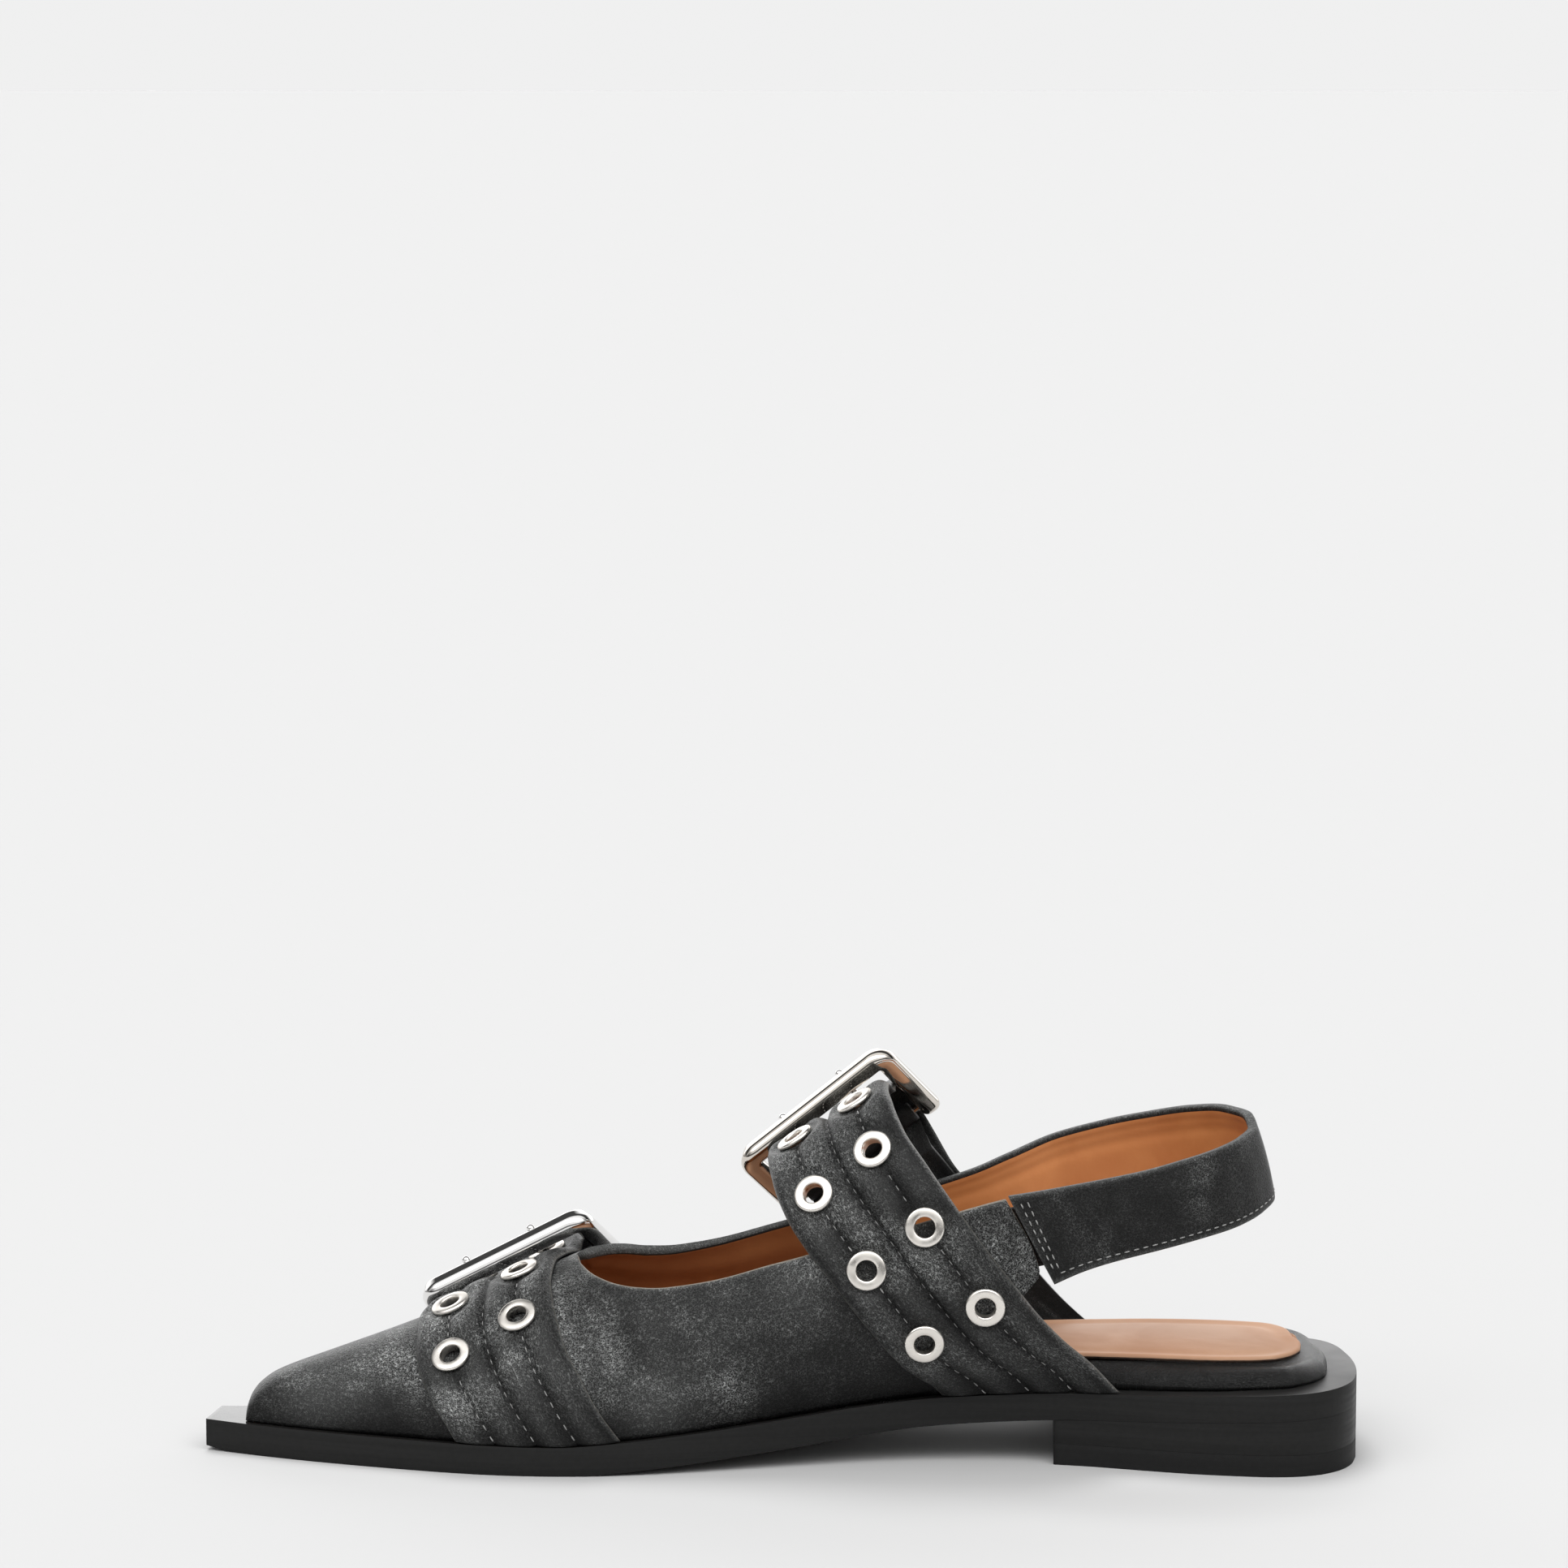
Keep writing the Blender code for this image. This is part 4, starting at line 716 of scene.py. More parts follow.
class StrapLine:
    def __init__(self, name):
        make, gap = strapMake, shoe["gap"]
        spans = len(strapRungs[name]) - 1
        self.name = name
        self.cols = columnsOf(strapRungs[name])
        self.ks = np.linspace(0, spans, make["rungSteps"] * spans + 1)
        self.arcs = runAlong(lastPoint(*self.place(self.ks, 0.5)))
        seen = [float(np.interp(k, self.ks, self.arcs)) for k in make["rungs"][name]]
        self.nearBar = seen[-1] + make["barRun"][name]
        self.farBar = self.nearBar + frameMake["run"]
        self.prongPair = seen[-1] + make["pitch"]
        self.pairs = seen + [self.prongPair] + [self.farBar + run for run in make["tailPairs"][name]]
        self.tip = self.farBar + make["tail"][name]
        under = 2 * frameMake["prong"] + 4 * gap
        rest = 2 * gap + make["under"] + make["gap"]
        low, high = (self.nearBar + run for run in make["climb"])
        rise, crest, fall = make["hump"]
        settled, beyond = self.farBar + make["settle"], self.farBar + make["beyond"]
        self.low = smoothCurve((0, low, high, self.farBar, settled, beyond),
                               (make["gap"], make["gap"], under, under, rest, rest))
        self.bump = smoothCurve((0, self.nearBar + rise, self.farBar + crest, self.farBar + fall, settled,
                                 beyond), (0, 0, 1, 1, 0, 0))
        self.body = smoothCurve((0, *make["footRun"]),
                                (make["foot"], make["footFull"] * make["crown"], make["crown"]))
        self.hump = None

    def place(self, k, w):
        frontX, frontT, rearX, rearT = (c(k) for c in self.cols)
        return frontX + (rearX - frontX) * w, frontT + (rearT - frontT) * w

    def rung(self, s):
        return np.interp(s, self.arcs, self.ks)

    def base(self, s, w, level):
        x, place = self.place(self.rung(s), w)
        made = lastPoint(x, place) + lastNormal(x, place) * np.asarray(level, float)[..., None]
        made[..., 2] = np.maximum(made[..., 2], profile["top"](made[..., 0]) + shoe["gap"])
        return made

    def lift(self, s, w):
        low = self.low(s)
        return low if self.hump is None else low + self.bump(s) * (self.hump(w) - low)

    def point(self, s, w, level=0.0):
        return self.base(s, w, self.lift(s, w) + level)

    def out(self, s, w):
        return lastNormal(*self.place(self.rung(s), w))

    def riseOver(self, buckle):
        needs = []
        for w in strapMake["shares"]:
            foot = self.base(self.farBar, w, 0.0)
            over = buckle.rod + buckle.w * np.dot(foot - buckle.rod, buckle.w)
            above = float(np.dot(over - foot, self.out(self.farBar, w)))
            needs.append(above + frameMake["clear"] + shoe["gap"])
        self.hump = smoothCurve(strapMake["shares"], needs)

    def axes(self, s, w, level=0.0):
        step, aside = strapMake["probe"]
        along = unit(self.point(s + step, w, level) - self.point(s - step, w, level))
        across = self.point(s, w + aside, level) - self.point(s, w - aside, level)
        out = unit(np.cross(across, along))
        return along, unit(np.cross(along, out)), out

    def fullness(self, s):
        pressed = strapMake["press"] * bell(s, self.nearBar, strapMake["pressRun"])
        return self.body(s) / strapMake["crown"] * (1 - pressed)

    def thickness(self, s, w):
        swell = np.abs(np.sin(4 * np.pi * w)) ** strapMake["swell"]
        atEdge = np.minimum(w, 1 - w) < strapMake["edgeShare"]
        valley = np.where(atEdge, strapMake["edge"], strapMake["valley"])
        return (valley + (strapMake["crown"] - valley) * swell) * self.fullness(s)

    def prongSeat(self, row):
        return self.point(self.prongPair, row, strapMake["middle"])

    # the seat of each eyelet, with the ways along, across and out
    def eyelets(self):
        valley = strapMake["valley"]
        for s in self.pairs:
            for w in strapMake["eyeletRows"].values():
                yield self.point(s, w, valley - strapMake["seatDown"]), *self.axes(s, w, valley)


def turned(a, b, angle):
    c, s = math.cos(angle), math.sin(angle)
    return a * c + b * s, b * c - a * s


class BuckleFrame:
    def __init__(self, strap):
        make, name = frameMake, strap.name
        ends = [strap.base(strap.nearBar, w, strapMake["gap"]) for w in (0.0, 1.0)]
        across = unit(ends[1] - ends[0])
        self.strap = strap
        self.near = strap.base(strap.nearBar, 0.5, make["overStrap"] + make["tall"] / 2)
        self.rod = strap.base(strap.farBar, 0.5, make["clear"])
        for _ in range(make["tries"]):  # lifted until it clears the strap and the last
            self.a = unit(self.rod - self.near)
            self.w = unit(across - self.a * np.dot(across, self.a))
            self.n = unit(np.cross(self.w, self.a))
            self.w, self.n = turned(self.w, self.n, math.radians(make["roll"][name]))
            tops = [(strap.point(strap.nearBar + run, w, strap.thickness(strap.nearBar, w)), make["tall"] / 2)
                    for run in make["nearRuns"] for w in make["nearShares"]]
            self.near = self.lifted(self.near, tops)
            feet = [(strap.base(strap.farBar, w, 0.0), make["clear"]) for w in strapMake["shares"]]
            feet += [(strap.base(strap.farBar + run, w, 0.0), make["tall"] / 2) for w in make["armShares"]
                     for run in make["armRuns"]]
            self.rod = self.lifted(self.rod, feet)
        edges = [strap.base(s, w, strapMake["gap"])
                 for s in (strap.nearBar, strap.farBar) for w in (0.0, 1.0)]
        aside = self.w * (sum(np.dot(p - self.near, self.w) for p in edges) / 4 + make["aside"][name])
        middle = (self.near + self.rod) / 2 + aside
        self.length = float(np.linalg.norm(self.rod - self.near))
        self.a = unit(self.rod - self.near)
        self.w = unit(self.w - self.a * np.dot(self.w, self.a))
        self.w, self.a = turned(self.w, self.a, math.radians(make["yaw"][name]))
        self.n = unit(np.cross(self.w, self.a))
        self.near, self.rod = middle - self.a * self.length / 2, middle + self.a * self.length / 2
        strap.riseOver(self)

    def lifted(self, spot, under):
        return spot + self.n * max(np.dot(p - spot, self.n) + clear + shoe["gap"] for p, clear in under)

    def at(self, a, w, n):
        a, w, n = (np.asarray(t, float)[..., None] for t in (a, w, n))
        return self.near + self.a * a + self.w * w + self.n * n

    def local(self, p):
        return (p - self.near) @ self.a, (p - self.near) @ self.w


padMake = {"width": 32.0, "valley": 1.3, "middle": 0.45, "middleWide": 0.07, "crown": 2.9, "fullness": 0.42,
           "thinnest": 0.5, "seat": 1.5, "seatOut": 5.1, "seatEnd": 7.4, "edgeRound": 2.0, "edgeLow": 0.3,
           "tug": 0.8, "tugWide": 0.045, "tugAt": -6.0, "tugRun": 10.0,  # pulled in at the middle seam
           "tipRound": 9.0, "tipPast": 0.4, "tipWide": 0.45, "hole": 3.2, "holeDeep": 5.0,
           "columns": 60, "step": 0.8, "rubEdge": 0.6, "crownRubAndSheen": 0.3, "footShade": (0.95, 9.0),
           "valleyShade": (0.6, 0.9), "layWide": 0.034, "stitchLines": (0.25, 0.5, 0.75), "stitchFrom": 2.0,
           "stitchTo": 5.0, "stitchFree": 5.4, "pitch": 3.0, "samples": 400,
           "stitch": (0.85, 0.22, 0.1), "holeShade": (0.62, 0.42, -0.3)}  # half length, half width, sink


# how much of the width each edge gives up towards the rounded tip
def padSpread(strap, s):
    past = (s - (strap.tip - padMake["tipRound"])) / (padMake["tipRound"] + padMake["tipPast"])
    spreadOut = np.sqrt(np.maximum(1 - np.clip(past, 0, 1) ** 2, 0))
    return 0.5 - 0.5 * (padMake["tipWide"] + (1 - padMake["tipWide"]) * spreadOut)


def padThickness(strap, s, w, middle):
    swell = np.abs(np.sin(4 * np.pi * w)) ** padMake["fullness"]
    valley = padMake["valley"] - padMake["middle"] * bell(w, 0.5, padMake["middleWide"])
    thick = (valley + (padMake["crown"] - valley) * swell) * strap.fullness(s)
    for seat, *_ in strap.eyelets():
        press = 1 - ramp(np.linalg.norm(middle - seat, axis=1), padMake["seatOut"], padMake["seatEnd"])
        thick = thick + press * (padMake["seat"] - thick)
    tug = bell(w, 0.5, padMake["tugWide"]) * bell(s, strap.nearBar + padMake["tugAt"], padMake["tugRun"])
    thick = np.maximum(thick - padMake["tug"] * tug, padMake["thinnest"])
    fromEdge = np.minimum(w, 1 - w) * padMake["width"]
    roundOff = quarterRound(fromEdge / padMake["edgeRound"])
    return thick * (padMake["edgeLow"] + (1 - padMake["edgeLow"]) * roundOff)


def padTop(strap, s, w, across):
    middle = strap.point(s, across, strapMake["middle"])
    return strap.point(s, across, padThickness(strap, s, w, middle))


def makeStrap(strap):
    def spot(u, v):
        s = u * strap.tip
        narrow = padSpread(strap, s)
        return s, narrow + v * (1 - 2 * narrow)

    def low(u, v):
        return strap.point(*spot(u, v))

    def high(u, v):
        s, across = spot(u, v)
        return padTop(strap, s, v, across)

    def holes(u, v):
        middle = strap.point(*spot(u, v), strapMake["valley"] - strapMake["seatDown"])
        gone = np.zeros(len(u), bool)
        for seat, _, _, out in strap.eyelets():
            off = middle - seat
            flat = off - (off @ out)[:, None] * out
            close = np.linalg.norm(off, axis=1) < padMake["holeDeep"]
            gone |= (np.linalg.norm(flat, axis=1) < padMake["hole"]) & close
        return gone

    def rubsAndSheen(u, v):
        edge = bell(np.minimum(v, 1 - v) * padMake["width"], 0, padMake["rubEdge"])
        # lighter pad crowns: partly rubbing, partly painted highlight
        return edge + padMake["crownRubAndSheen"] * np.abs(np.sin(4 * np.pi * v)) ** 3

    # painted shade at the strap's foot by the sole and along its stitch valleys
    def shadePaints(u, v):
        (foot, tall), (valley, wide) = padMake["footShade"], padMake["valleyShade"]
        fromValley = np.abs((v * 4 + 0.5) % 1 - 0.5) * padMake["width"] / 4
        return np.maximum(foot * bell(u * strap.tip, 0, tall), valley * bell(fromValley, 0, wide))
    size = (int(strap.tip / padMake["step"]), padMake["columns"])
    return slab(strap.name + "StrapPiece", size, low, high, (strap.name + "Strap", "fold", "fold"), holes,
                wearAndSheen=rubsAndSheen, paintedShade=shadePaints, lay=(strap.tip * mm, padMake["layWide"]))


def turnOf(x, y, z):
    return Matrix((x, y, z)).transposed().to_4x4()


beadMake = {"flat": 0.8, "round": 6, "rings": 5, "lastRoom": 0.4}


# every stitch is one small bead of thread, all of a seam in one mesh
def beadAt(body, p, ahead, out, length, thick, sink):
    side = unit(np.cross(out, ahead))
    up = np.cross(ahead, side)
    size = Matrix.Diagonal((length * mm, thick * mm, thick * beadMake["flat"] * mm, 1))
    spot = Matrix.Translation(Vector(toFrame(p + up * (thick * sink))))
    bmesh.ops.create_uvsphere(body, u_segments=beadMake["round"], v_segments=beadMake["rings"], radius=1.0,
                              matrix=spot @ turnOf(ahead, side, up) @ size)


# shares of a path, a pitch apart
def evenly(path, pitch, start=0.0):
    run = runAlong(path)
    spots = np.arange(start, run[-1] - pitch * beadMake["lastRoom"], pitch)
    return np.interp(spots, run, np.linspace(0, 1, len(path)))


def makeSeams(strap):
    thread, holeShades = bmesh.new(), bmesh.new()
    seats = [seat for seat, *_ in strap.eyelets()]
    line = np.linspace(padMake["stitchFrom"], strap.tip - padMake["stitchTo"], padMake["samples"])
    for w in padMake["stitchLines"]:
        path = padTop(strap, line, np.full(len(line), w), np.full(len(line), w))
        # the dark beads between the stitches paint the shade in the needle holes
        for body, start, bead in ((thread, 0.0, padMake["stitch"]),
                                  (holeShades, padMake["pitch"] / 2, padMake["holeShade"])):
            s = line[0] + evenly(path, padMake["pitch"], start) * (line[-1] - line[0])
            wide = np.full(len(s), w)
            points = padTop(strap, s, wide, wide)
            ahead = unit(np.gradient(points, axis=0))
            for p, out, a in zip(points, strap.out(s, wide), ahead):
                if min(np.linalg.norm(p - seat) for seat in seats) > padMake["stitchFree"]:
                    beadAt(body, p, a, out, *bead)
    return (asPiece(strap.name + "SeamThread", thread, ("greyThread",)),
            asPiece(strap.name + "NeedlePits", holeShades, ("holeShade",)))


eyeletMake = {"steps": 32,
              # radius and height over the seat, from the barrel's end up over the flange to its rim and back
              "profile": ((2.8, -1.5), (2.42, -1.5), (2.42, 0.8), (2.5, 1.02), (2.72, 1.12), (3.4, 1.13),
                          (4.12, 1.08), (4.44, 0.96), (4.62, 0.66), (4.62, 0.3), (4.45, 0.1), (2.8, 0.1))}


def makeEyelets(strap):
    ring = bmesh.new()
    verts = [ring.verts.new((r * mm, 0, h * mm)) for r, h in eyeletMake["profile"]]
    edges = [ring.edges.new((a, b)) for a, b in zip(verts, verts[1:] + verts[:1])]
    bmesh.ops.spin(ring, geom=verts + edges, cent=(0, 0, 0), axis=(0, 0, 1), dvec=(0, 0, 0),
                   angle=math.tau, steps=eyeletMake["steps"], use_merge=True)
    bmesh.ops.remove_doubles(ring, verts=ring.verts, dist=0.001 * mm)
    bmesh.ops.recalc_face_normals(ring, faces=ring.faces)
    ringMesh = bpy.data.meshes.new("eyelet")
    ring.to_mesh(ringMesh)
    ring.free()
    body = bmesh.new()
    for seat, along, across, out in strap.eyelets():
        known = len(body.verts)
        body.from_mesh(ringMesh)
        body.verts.ensure_lookup_table()
        place = Matrix.Translation(Vector(toFrame(seat))) @ turnOf(along, across, out)
        bmesh.ops.transform(body, matrix=place, verts=body.verts[known:])
    bpy.data.meshes.remove(ringMesh)
    made = asPiece(strap.name + "EyeletRings", body, ("nickel",))
    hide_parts(*[f"{strap.name}_eyelet_{n}_{end}" for n in range(1, len(strap.pairs) + 1)
                        for end in ("front", "rear")])


# a bar or wire: the grid rolled round a path
def rolledTube(body, path, frames, section, around):
    spans = len(path) - 1
    fresh, flat = newGrid(body, spans, around)
    for v, (along, turn) in zip(fresh, flat):
        i = int(round(along * spans))
        a, b = section(i, math.tau * turn)
        v.co = toFrame(path[i] + frames[i][0] * a + frames[i][1] * b)
    bmesh.ops.remove_doubles(body, verts=fresh, dist=0.005 * mm)
    rims = [e for e in body.edges if e.is_boundary]
    if rims:
        bmesh.ops.holes_fill(body, edges=rims, sides=0)
    bmesh.ops.recalc_face_normals(body, faces=body.faces)


def roundWire(sizes):
    return lambda i, turn: (sizes[i] * math.cos(turn), sizes[i] * math.sin(turn))


def squareRound(turn, half, tall, power):
    c, s = math.cos(turn), math.sin(turn)
    return half * math.copysign(abs(c) ** (2 / power), c), tall * math.copysign(abs(s) ** (2 / power), s)


def makeFrame(buckle):
    make, steps, name = frameMake, frameMake["steps"], buckle.strap.name
    half, tall, corner, wide = make["bar"] / 2, make["tall"] / 2, make["corner"], make["half"]
    reach = buckle.length + make["past"][name]
    # a, w, then the outward direction in the frame's plane: an arm, a corner, the bar and the mirrored side
    side = [(reach - (reach - corner) * t, -wide, 0.0, -1.0) for t in np.linspace(0, 1, steps["arm"])]
    for turn in np.linspace(0, math.pi / 2, steps["corner"])[1:]:
        c, s = math.cos(turn), math.sin(turn)
        side.append((corner * (1 - s), -(wide - corner + corner * c), -s, -c))
    bar = [(0.0, (wide - corner) * (2 * t - 1), -1.0, 0.0) for t in np.linspace(0, 1, steps["bar"])[1:]]
    flat = side + bar + [(a, -w, da, -dw) for a, w, da, dw in side[-2::-1]]
    path = [buckle.at(a, w, 0.0) for a, w, da, dw in flat]
    frames = [(buckle.a * da + buckle.w * dw, buckle.n) for a, w, da, dw in flat]
    tips = [quarterRound((reach - a) / make["tipRound"], 0.0025) for a, w, da, dw in flat]
    cutA, cutB = math.cos(math.radians(make["cut"])), math.sin(math.radians(make["cut"]))
    more = make["heavier"]

    def section(i, turn):
        a, b = squareRound(turn, half, tall, make["squareness"])
        past = max(a * cutA + b * cutB - make["cutAt"], 0.0)
        a = (a - past * cutA) * (1 + more / half) - more
        b = (b - past * cutB) * (1 + 0.5 * more / tall) + 0.5 * more
        return a * tips[i], b * tips[i]
    body = bmesh.new()
    rolledTube(body, path, frames, section, make["around"])
    ends, count = wide + make["rodPast"], steps["rod"]
    rod = [buckle.at(buckle.length, w, 0.0) for w in np.linspace(-ends, ends, count)]
    rolledTube(body, rod, [(buckle.a, buckle.n)] * count, roundWire([make["rod"]] * count), make["rodAround"])
    made = asPiece(name + "FramePiece", body, (make["look"][name],))
    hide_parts(name + "_buckle_frame")


# corners cut again and again, for a smooth bend
def rounded(points, passes):
    for _ in range(passes):
        made = [points[0]]
        for p, q in zip(points[:-1], points[1:]):
            made += [p * 0.75 + q * 0.25, p * 0.25 + q * 0.75]
        points = made + [points[-1]]
    return points


prongMake = {"eyeFrom": -45, "eyeTurn": 270, "eyeSteps": 20, "over": 0.1, "passes": 4, "around": 14,
             "under": ((4.0, 0.0), (7.5, 0.5)),  # back from the bar and down, under the strap
             "through": ((-3.0, 3.0), (-2.3, 0.7), (2.3, -0.6)),  # out and along, through the eyelet
             "onFrame": ((3.6, 0.2), (1.4, 0.0), (-0.3, -0.25)),  # from the near bar and up, over the frame
             "endRound": 0.9, "tipSwell": 0.2, "tipRun": 0.8}


def makeProng(buckle, end):
    strap, gap, prong, make = buckle.strap, shoe["gap"], frameMake["prong"], prongMake
    share = strapMake["eyeletRows"][end]
    seat = strap.prongSeat(share)
    w = float(np.dot(seat - buckle.near, buckle.w))
    eye = frameMake["rod"] + gap + prong
    steps = make["eyeSteps"]
    turns = [math.radians(make["eyeFrom"] - make["eyeTurn"] * i / steps) for i in range(steps + 1)]
    path = [buckle.at(buckle.length - eye * math.cos(t), w, eye * math.sin(t)) for t in turns]
    below = -(2 * gap + prong)
    along, _, out = strap.axes(strap.prongPair, share)
    way = [strap.point(strap.farBar - back, share, below - down) for back, down in make["under"]]
    way += [seat + out * up + along * on for up, on in make["through"]]
    way = [p - buckle.w * (np.dot(p - buckle.near, buckle.w) - w) for p in way]
    top = frameMake["tall"] / 2 + frameMake["heavier"] + make["over"] + prong
    way += [buckle.at(a, w, top + up) for a, up in make["onFrame"]]
    path = np.array(path + rounded(way, make["passes"]))
    final = len(path) - 1
    frames = []
    for i in range(final + 1):
        ahead = unit(path[min(i + 1, final)] - path[max(i - 1, 0)])
        up = unit(np.cross(ahead, buckle.w))
        frames.append((unit(np.cross(up, ahead)), up))
    run = runAlong(path)
    toTip = run[-1] - run
    sizes = prong * quarterRound(np.minimum(toTip, run) / make["endRound"], 0.003)
    sizes = sizes * (1 + make["tipSwell"] * bell(toTip, make["endRound"], make["tipRun"]))
    body = bmesh.new()
    rolledTube(body, path, frames, roundWire(sizes), make["around"])
    made = asPiece(f"{strap.name}Prong{end.capitalize()}", body, ("chrome",))
    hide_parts(f"{strap.name}_prong_{end}")


wrapMake = {"grid": (90, 44), "width": 30, "inset": 2.4, "shareIn": 0.02, "from": 5.5, "turnAt": 0.66,
            "blend": 0.1, "footThin": 0.6, "footRun": 30, "foldFrom": 25, "foldTurn": 143, "edgeSoft": 1.2,
            "edgeDrop": 0.225, "slot": 1.7, "slotPast": 5.0}


def makeBuckleStrap(buckle):
    strap, make = buckle.strap, wrapMake
    total, fold = float(strap.arcs[-1]), frameMake["rod"] + shoe["gap"] + frameMake["fold"]
    half = frameMake["half"] - frameMake["bar"] / 2 - make["inset"]
    turnAt, blend = make["turnAt"], make["blend"]

    def wrap(u, v, sign):
        share, w = make["shareIn"] + (1 - 2 * make["shareIn"]) * v, -half + 2 * half * v
        s = total + (strap.farBar + make["from"] - total) * np.clip(u / turnAt, 0, 1)
        thick = strapMake["under"] * np.minimum(1.0, make["footThin"] + (total - s) / make["footRun"])
        flat = strap.base(s, share, strapMake["gap"] + (thick if sign > 0 else 0 * thick))
        bend = np.clip((u - turnAt - blend) / (1 - blend - turnAt), 0, 1)
        turn = np.radians(make["foldFrom"] + make["foldTurn"] * bend)
        bent = buckle.at(buckle.length + fold * np.cos(turn), w, sign * fold * np.sin(turn))
        mix = ramp(u, turnAt, turnAt + blend)[..., None]
        edge = np.minimum(v, 1 - v)[..., None] * make["width"]
        soft = make["edgeDrop"] * np.clip(1 - edge / make["edgeSoft"], 0, 1) ** 2
        return flat * (1 - mix) + bent * mix - sign * soft * strap.out(s, share)

    def slots(u, v):
        a, w = buckle.local(0.5 * (wrap(u, v, 1) + wrap(u, v, -1)))
        gone = np.zeros(len(u), bool)
        for row in strapMake["eyeletRows"].values():
            wHole = float(np.dot(strap.prongSeat(row) - buckle.near, buckle.w))
            gone |= (np.abs(w - wHole) < make["slot"]) & (a < buckle.length + make["slotPast"])
        return gone
    made = slab(strap.name + "BuckleStrapPiece", make["grid"], lambda u, v: wrap(u, v, -1),
                lambda u, v: wrap(u, v, 1), ("under",) * 3, slots)
    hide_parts(strap.name + "_buckle_strap")


for strapName in ("toe", "instep"):
    strap = StrapLine(strapName)
    buckle = BuckleFrame(strap)
    strapPiece = makeStrap(strap)
    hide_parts(strapName + "_strap")
    for seam in makeSeams(strap):
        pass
    makeEyelets(strap)
    makeFrame(buckle)
    makeProng(buckle, "front")
    makeProng(buckle, "rear")
    makeBuckleStrap(buckle)
    print(strapName, "strap and buckle made")

# slingback and its elastic
slingMake = {"thick": 2.2, "round": 0.55, "crown": 0.5, "grid": (210, 32), "lay": (0.2, 0.019), "rim": 0.07,
             "tall": 18.5, "long": 190, "rubEdge": 0.6, "gore": 1.2, "goreRound": 0.25, "goreGrid": (40, 24),
             # lining: wrinkles at the back, a soft ridge along the turned edge, and its own step down
             "wave": (0.2, 66, 3, 25, 1.3), "waveFrom": (0.38, 0.52), "waveTo": (0.66, 0.8),
             "ridge": (0.35, 0.3, 0.07), "letIn": 0.4, "letInFrom": (0.1, 0.16), "letInTo": (0.97, 1.0),
             "calmTo": 0.3, "stitchIn": 1.6, "pitch": 2.2, "sink": 0.2, "samples": 500,
             "rows": [
                 (152.0, 20.9, 51.8, 158.0, 23.4, 36.0), (165.0, 20.6, 56.6, 171.0, 22.6, 40.2),
                 (179.0, 20.4, 61.5, 184.0, 21.8, 44.0), (187.0, 21.2, 65.0, 192.0, 22.6, 46.6),
                 (198.0, 24.8, 69.2, 202.0, 25.8, 50.2), (210.0, 25.6, 72.4, 214.0, 26.8, 53.2),
                 (221.0, 23.8, 75.0, 226.0, 25.2, 56.0), (231.0, 19.0, 77.4, 236.0, 20.4, 58.4),
                 (238.6, 12.0, 78.7, 243.6, 13.0, 60.4), (243.6, 4.0, 78.6, 248.4, 4.6, 60.8),
                 (244.6, -3.5, 77.0, 249.2, -3.2, 59.4), (241.8, -10.6, 75.6, 246.4, -10.8, 57.8),
                 (236.6, -17.0, 74.2, 241.0, -17.6, 56.0), (228.6, -22.8, 72.5, 232.6, -23.6, 54.3),
                 (217.6, -26.4, 70.0, 221.4, -27.2, 51.8), (206.0, -27.4, 67.7, 210.4, -28.2, 49.0),
                 (196.0, -27.2, 65.7, 203.6, -28.2, 46.6), (187.2, -26.6, 64.0, 197.9, -27.6, 43.8)],
             "goreRows": [
                 (202.0, -24.4, 63.4, 208.0, -25.2, 51.0), (194.0, -23.9, 62.0, 201.0, -24.4, 49.0),
                 (187.0, -22.9, 60.4, 195.0, -23.0, 47.2), (180.0, -22.6, 58.6, 187.0, -22.6, 45.6)]}


def bandSurface(rows, thick, crown):
    cols = columnsOf(rows)

    def edges(u):
        values = [c(np.clip(u, 0, 1) * (len(rows) - 1)) for c in cols]
        return np.stack(values[:3], -1), np.stack(values[3:], -1)

    def inward(u):
        top, low = edges(u)
        ahead = sum(edges(u + 0.02)) - sum(edges(u - 0.02))
        return unit(np.cross(ahead, top - low))

    def between(u, v):
        top, low = edges(u)
        return top + (low - top) * v[..., None]

    def outer(u, v):
        swell = crown * (1 - (2 * v - 1) ** 2)
        return between(u, v) - inward(u) * swell[..., None]

    def inner(u, v):
        return between(u, v) + inward(u) * thick
    return outer, inner, inward


slingOuter, slingInner, slingInward = bandSurface(slingMake["rows"], slingMake["thick"], slingMake["crown"])


def slingLining(u, v):
    deep, fine, slant, slow, shift = slingMake["wave"]
    wave = deep * np.sin(u * fine + slant * v) * np.sin(u * slow + shift)
    wave = wave * ramp(u, *slingMake["waveFrom"]) * (1 - ramp(u, *slingMake["waveTo"]))
    tall, at, wide = slingMake["ridge"]
    wave = wave + tall * bell(v, at, wide)
    start = slingMake["letInFrom"]
    step = slingMake["letIn"] * (ramp(v, *start) - ramp(v, *slingMake["letInTo"]))
    raised = step + wave * ramp(v, start[0], slingMake["calmTo"])
    return slingInner(u, v) - slingInward(u) * raised[..., None]


def slingOut(u):
    return -slingInward(u)


def slingRubs(u, v):
    fromEdge = np.minimum(np.minimum(v, 1 - v) * slingMake["tall"], (1 - u) * slingMake["long"])
    return bell(fromEdge, 0, slingMake["rubEdge"])


sling = slab("slingPiece", slingMake["grid"], slingLining, slingOuter,
             ("sling", "slingLining", "fold", "fold"), edge=slingMake["round"],
             inside=lambda u, v: 3 if v < slingMake["rim"] else 1, wearAndSheen=slingRubs, lay=slingMake["lay"])
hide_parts("slingback")
goreOuter, goreInner, _ = bandSurface(slingMake["goreRows"], slingMake["gore"], 0.0)
gore = slab("gorePiece", slingMake["goreGrid"], goreInner, goreOuter, ("elastic",) * 3,
            edge=slingMake["goreRound"])
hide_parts("sling_gore")


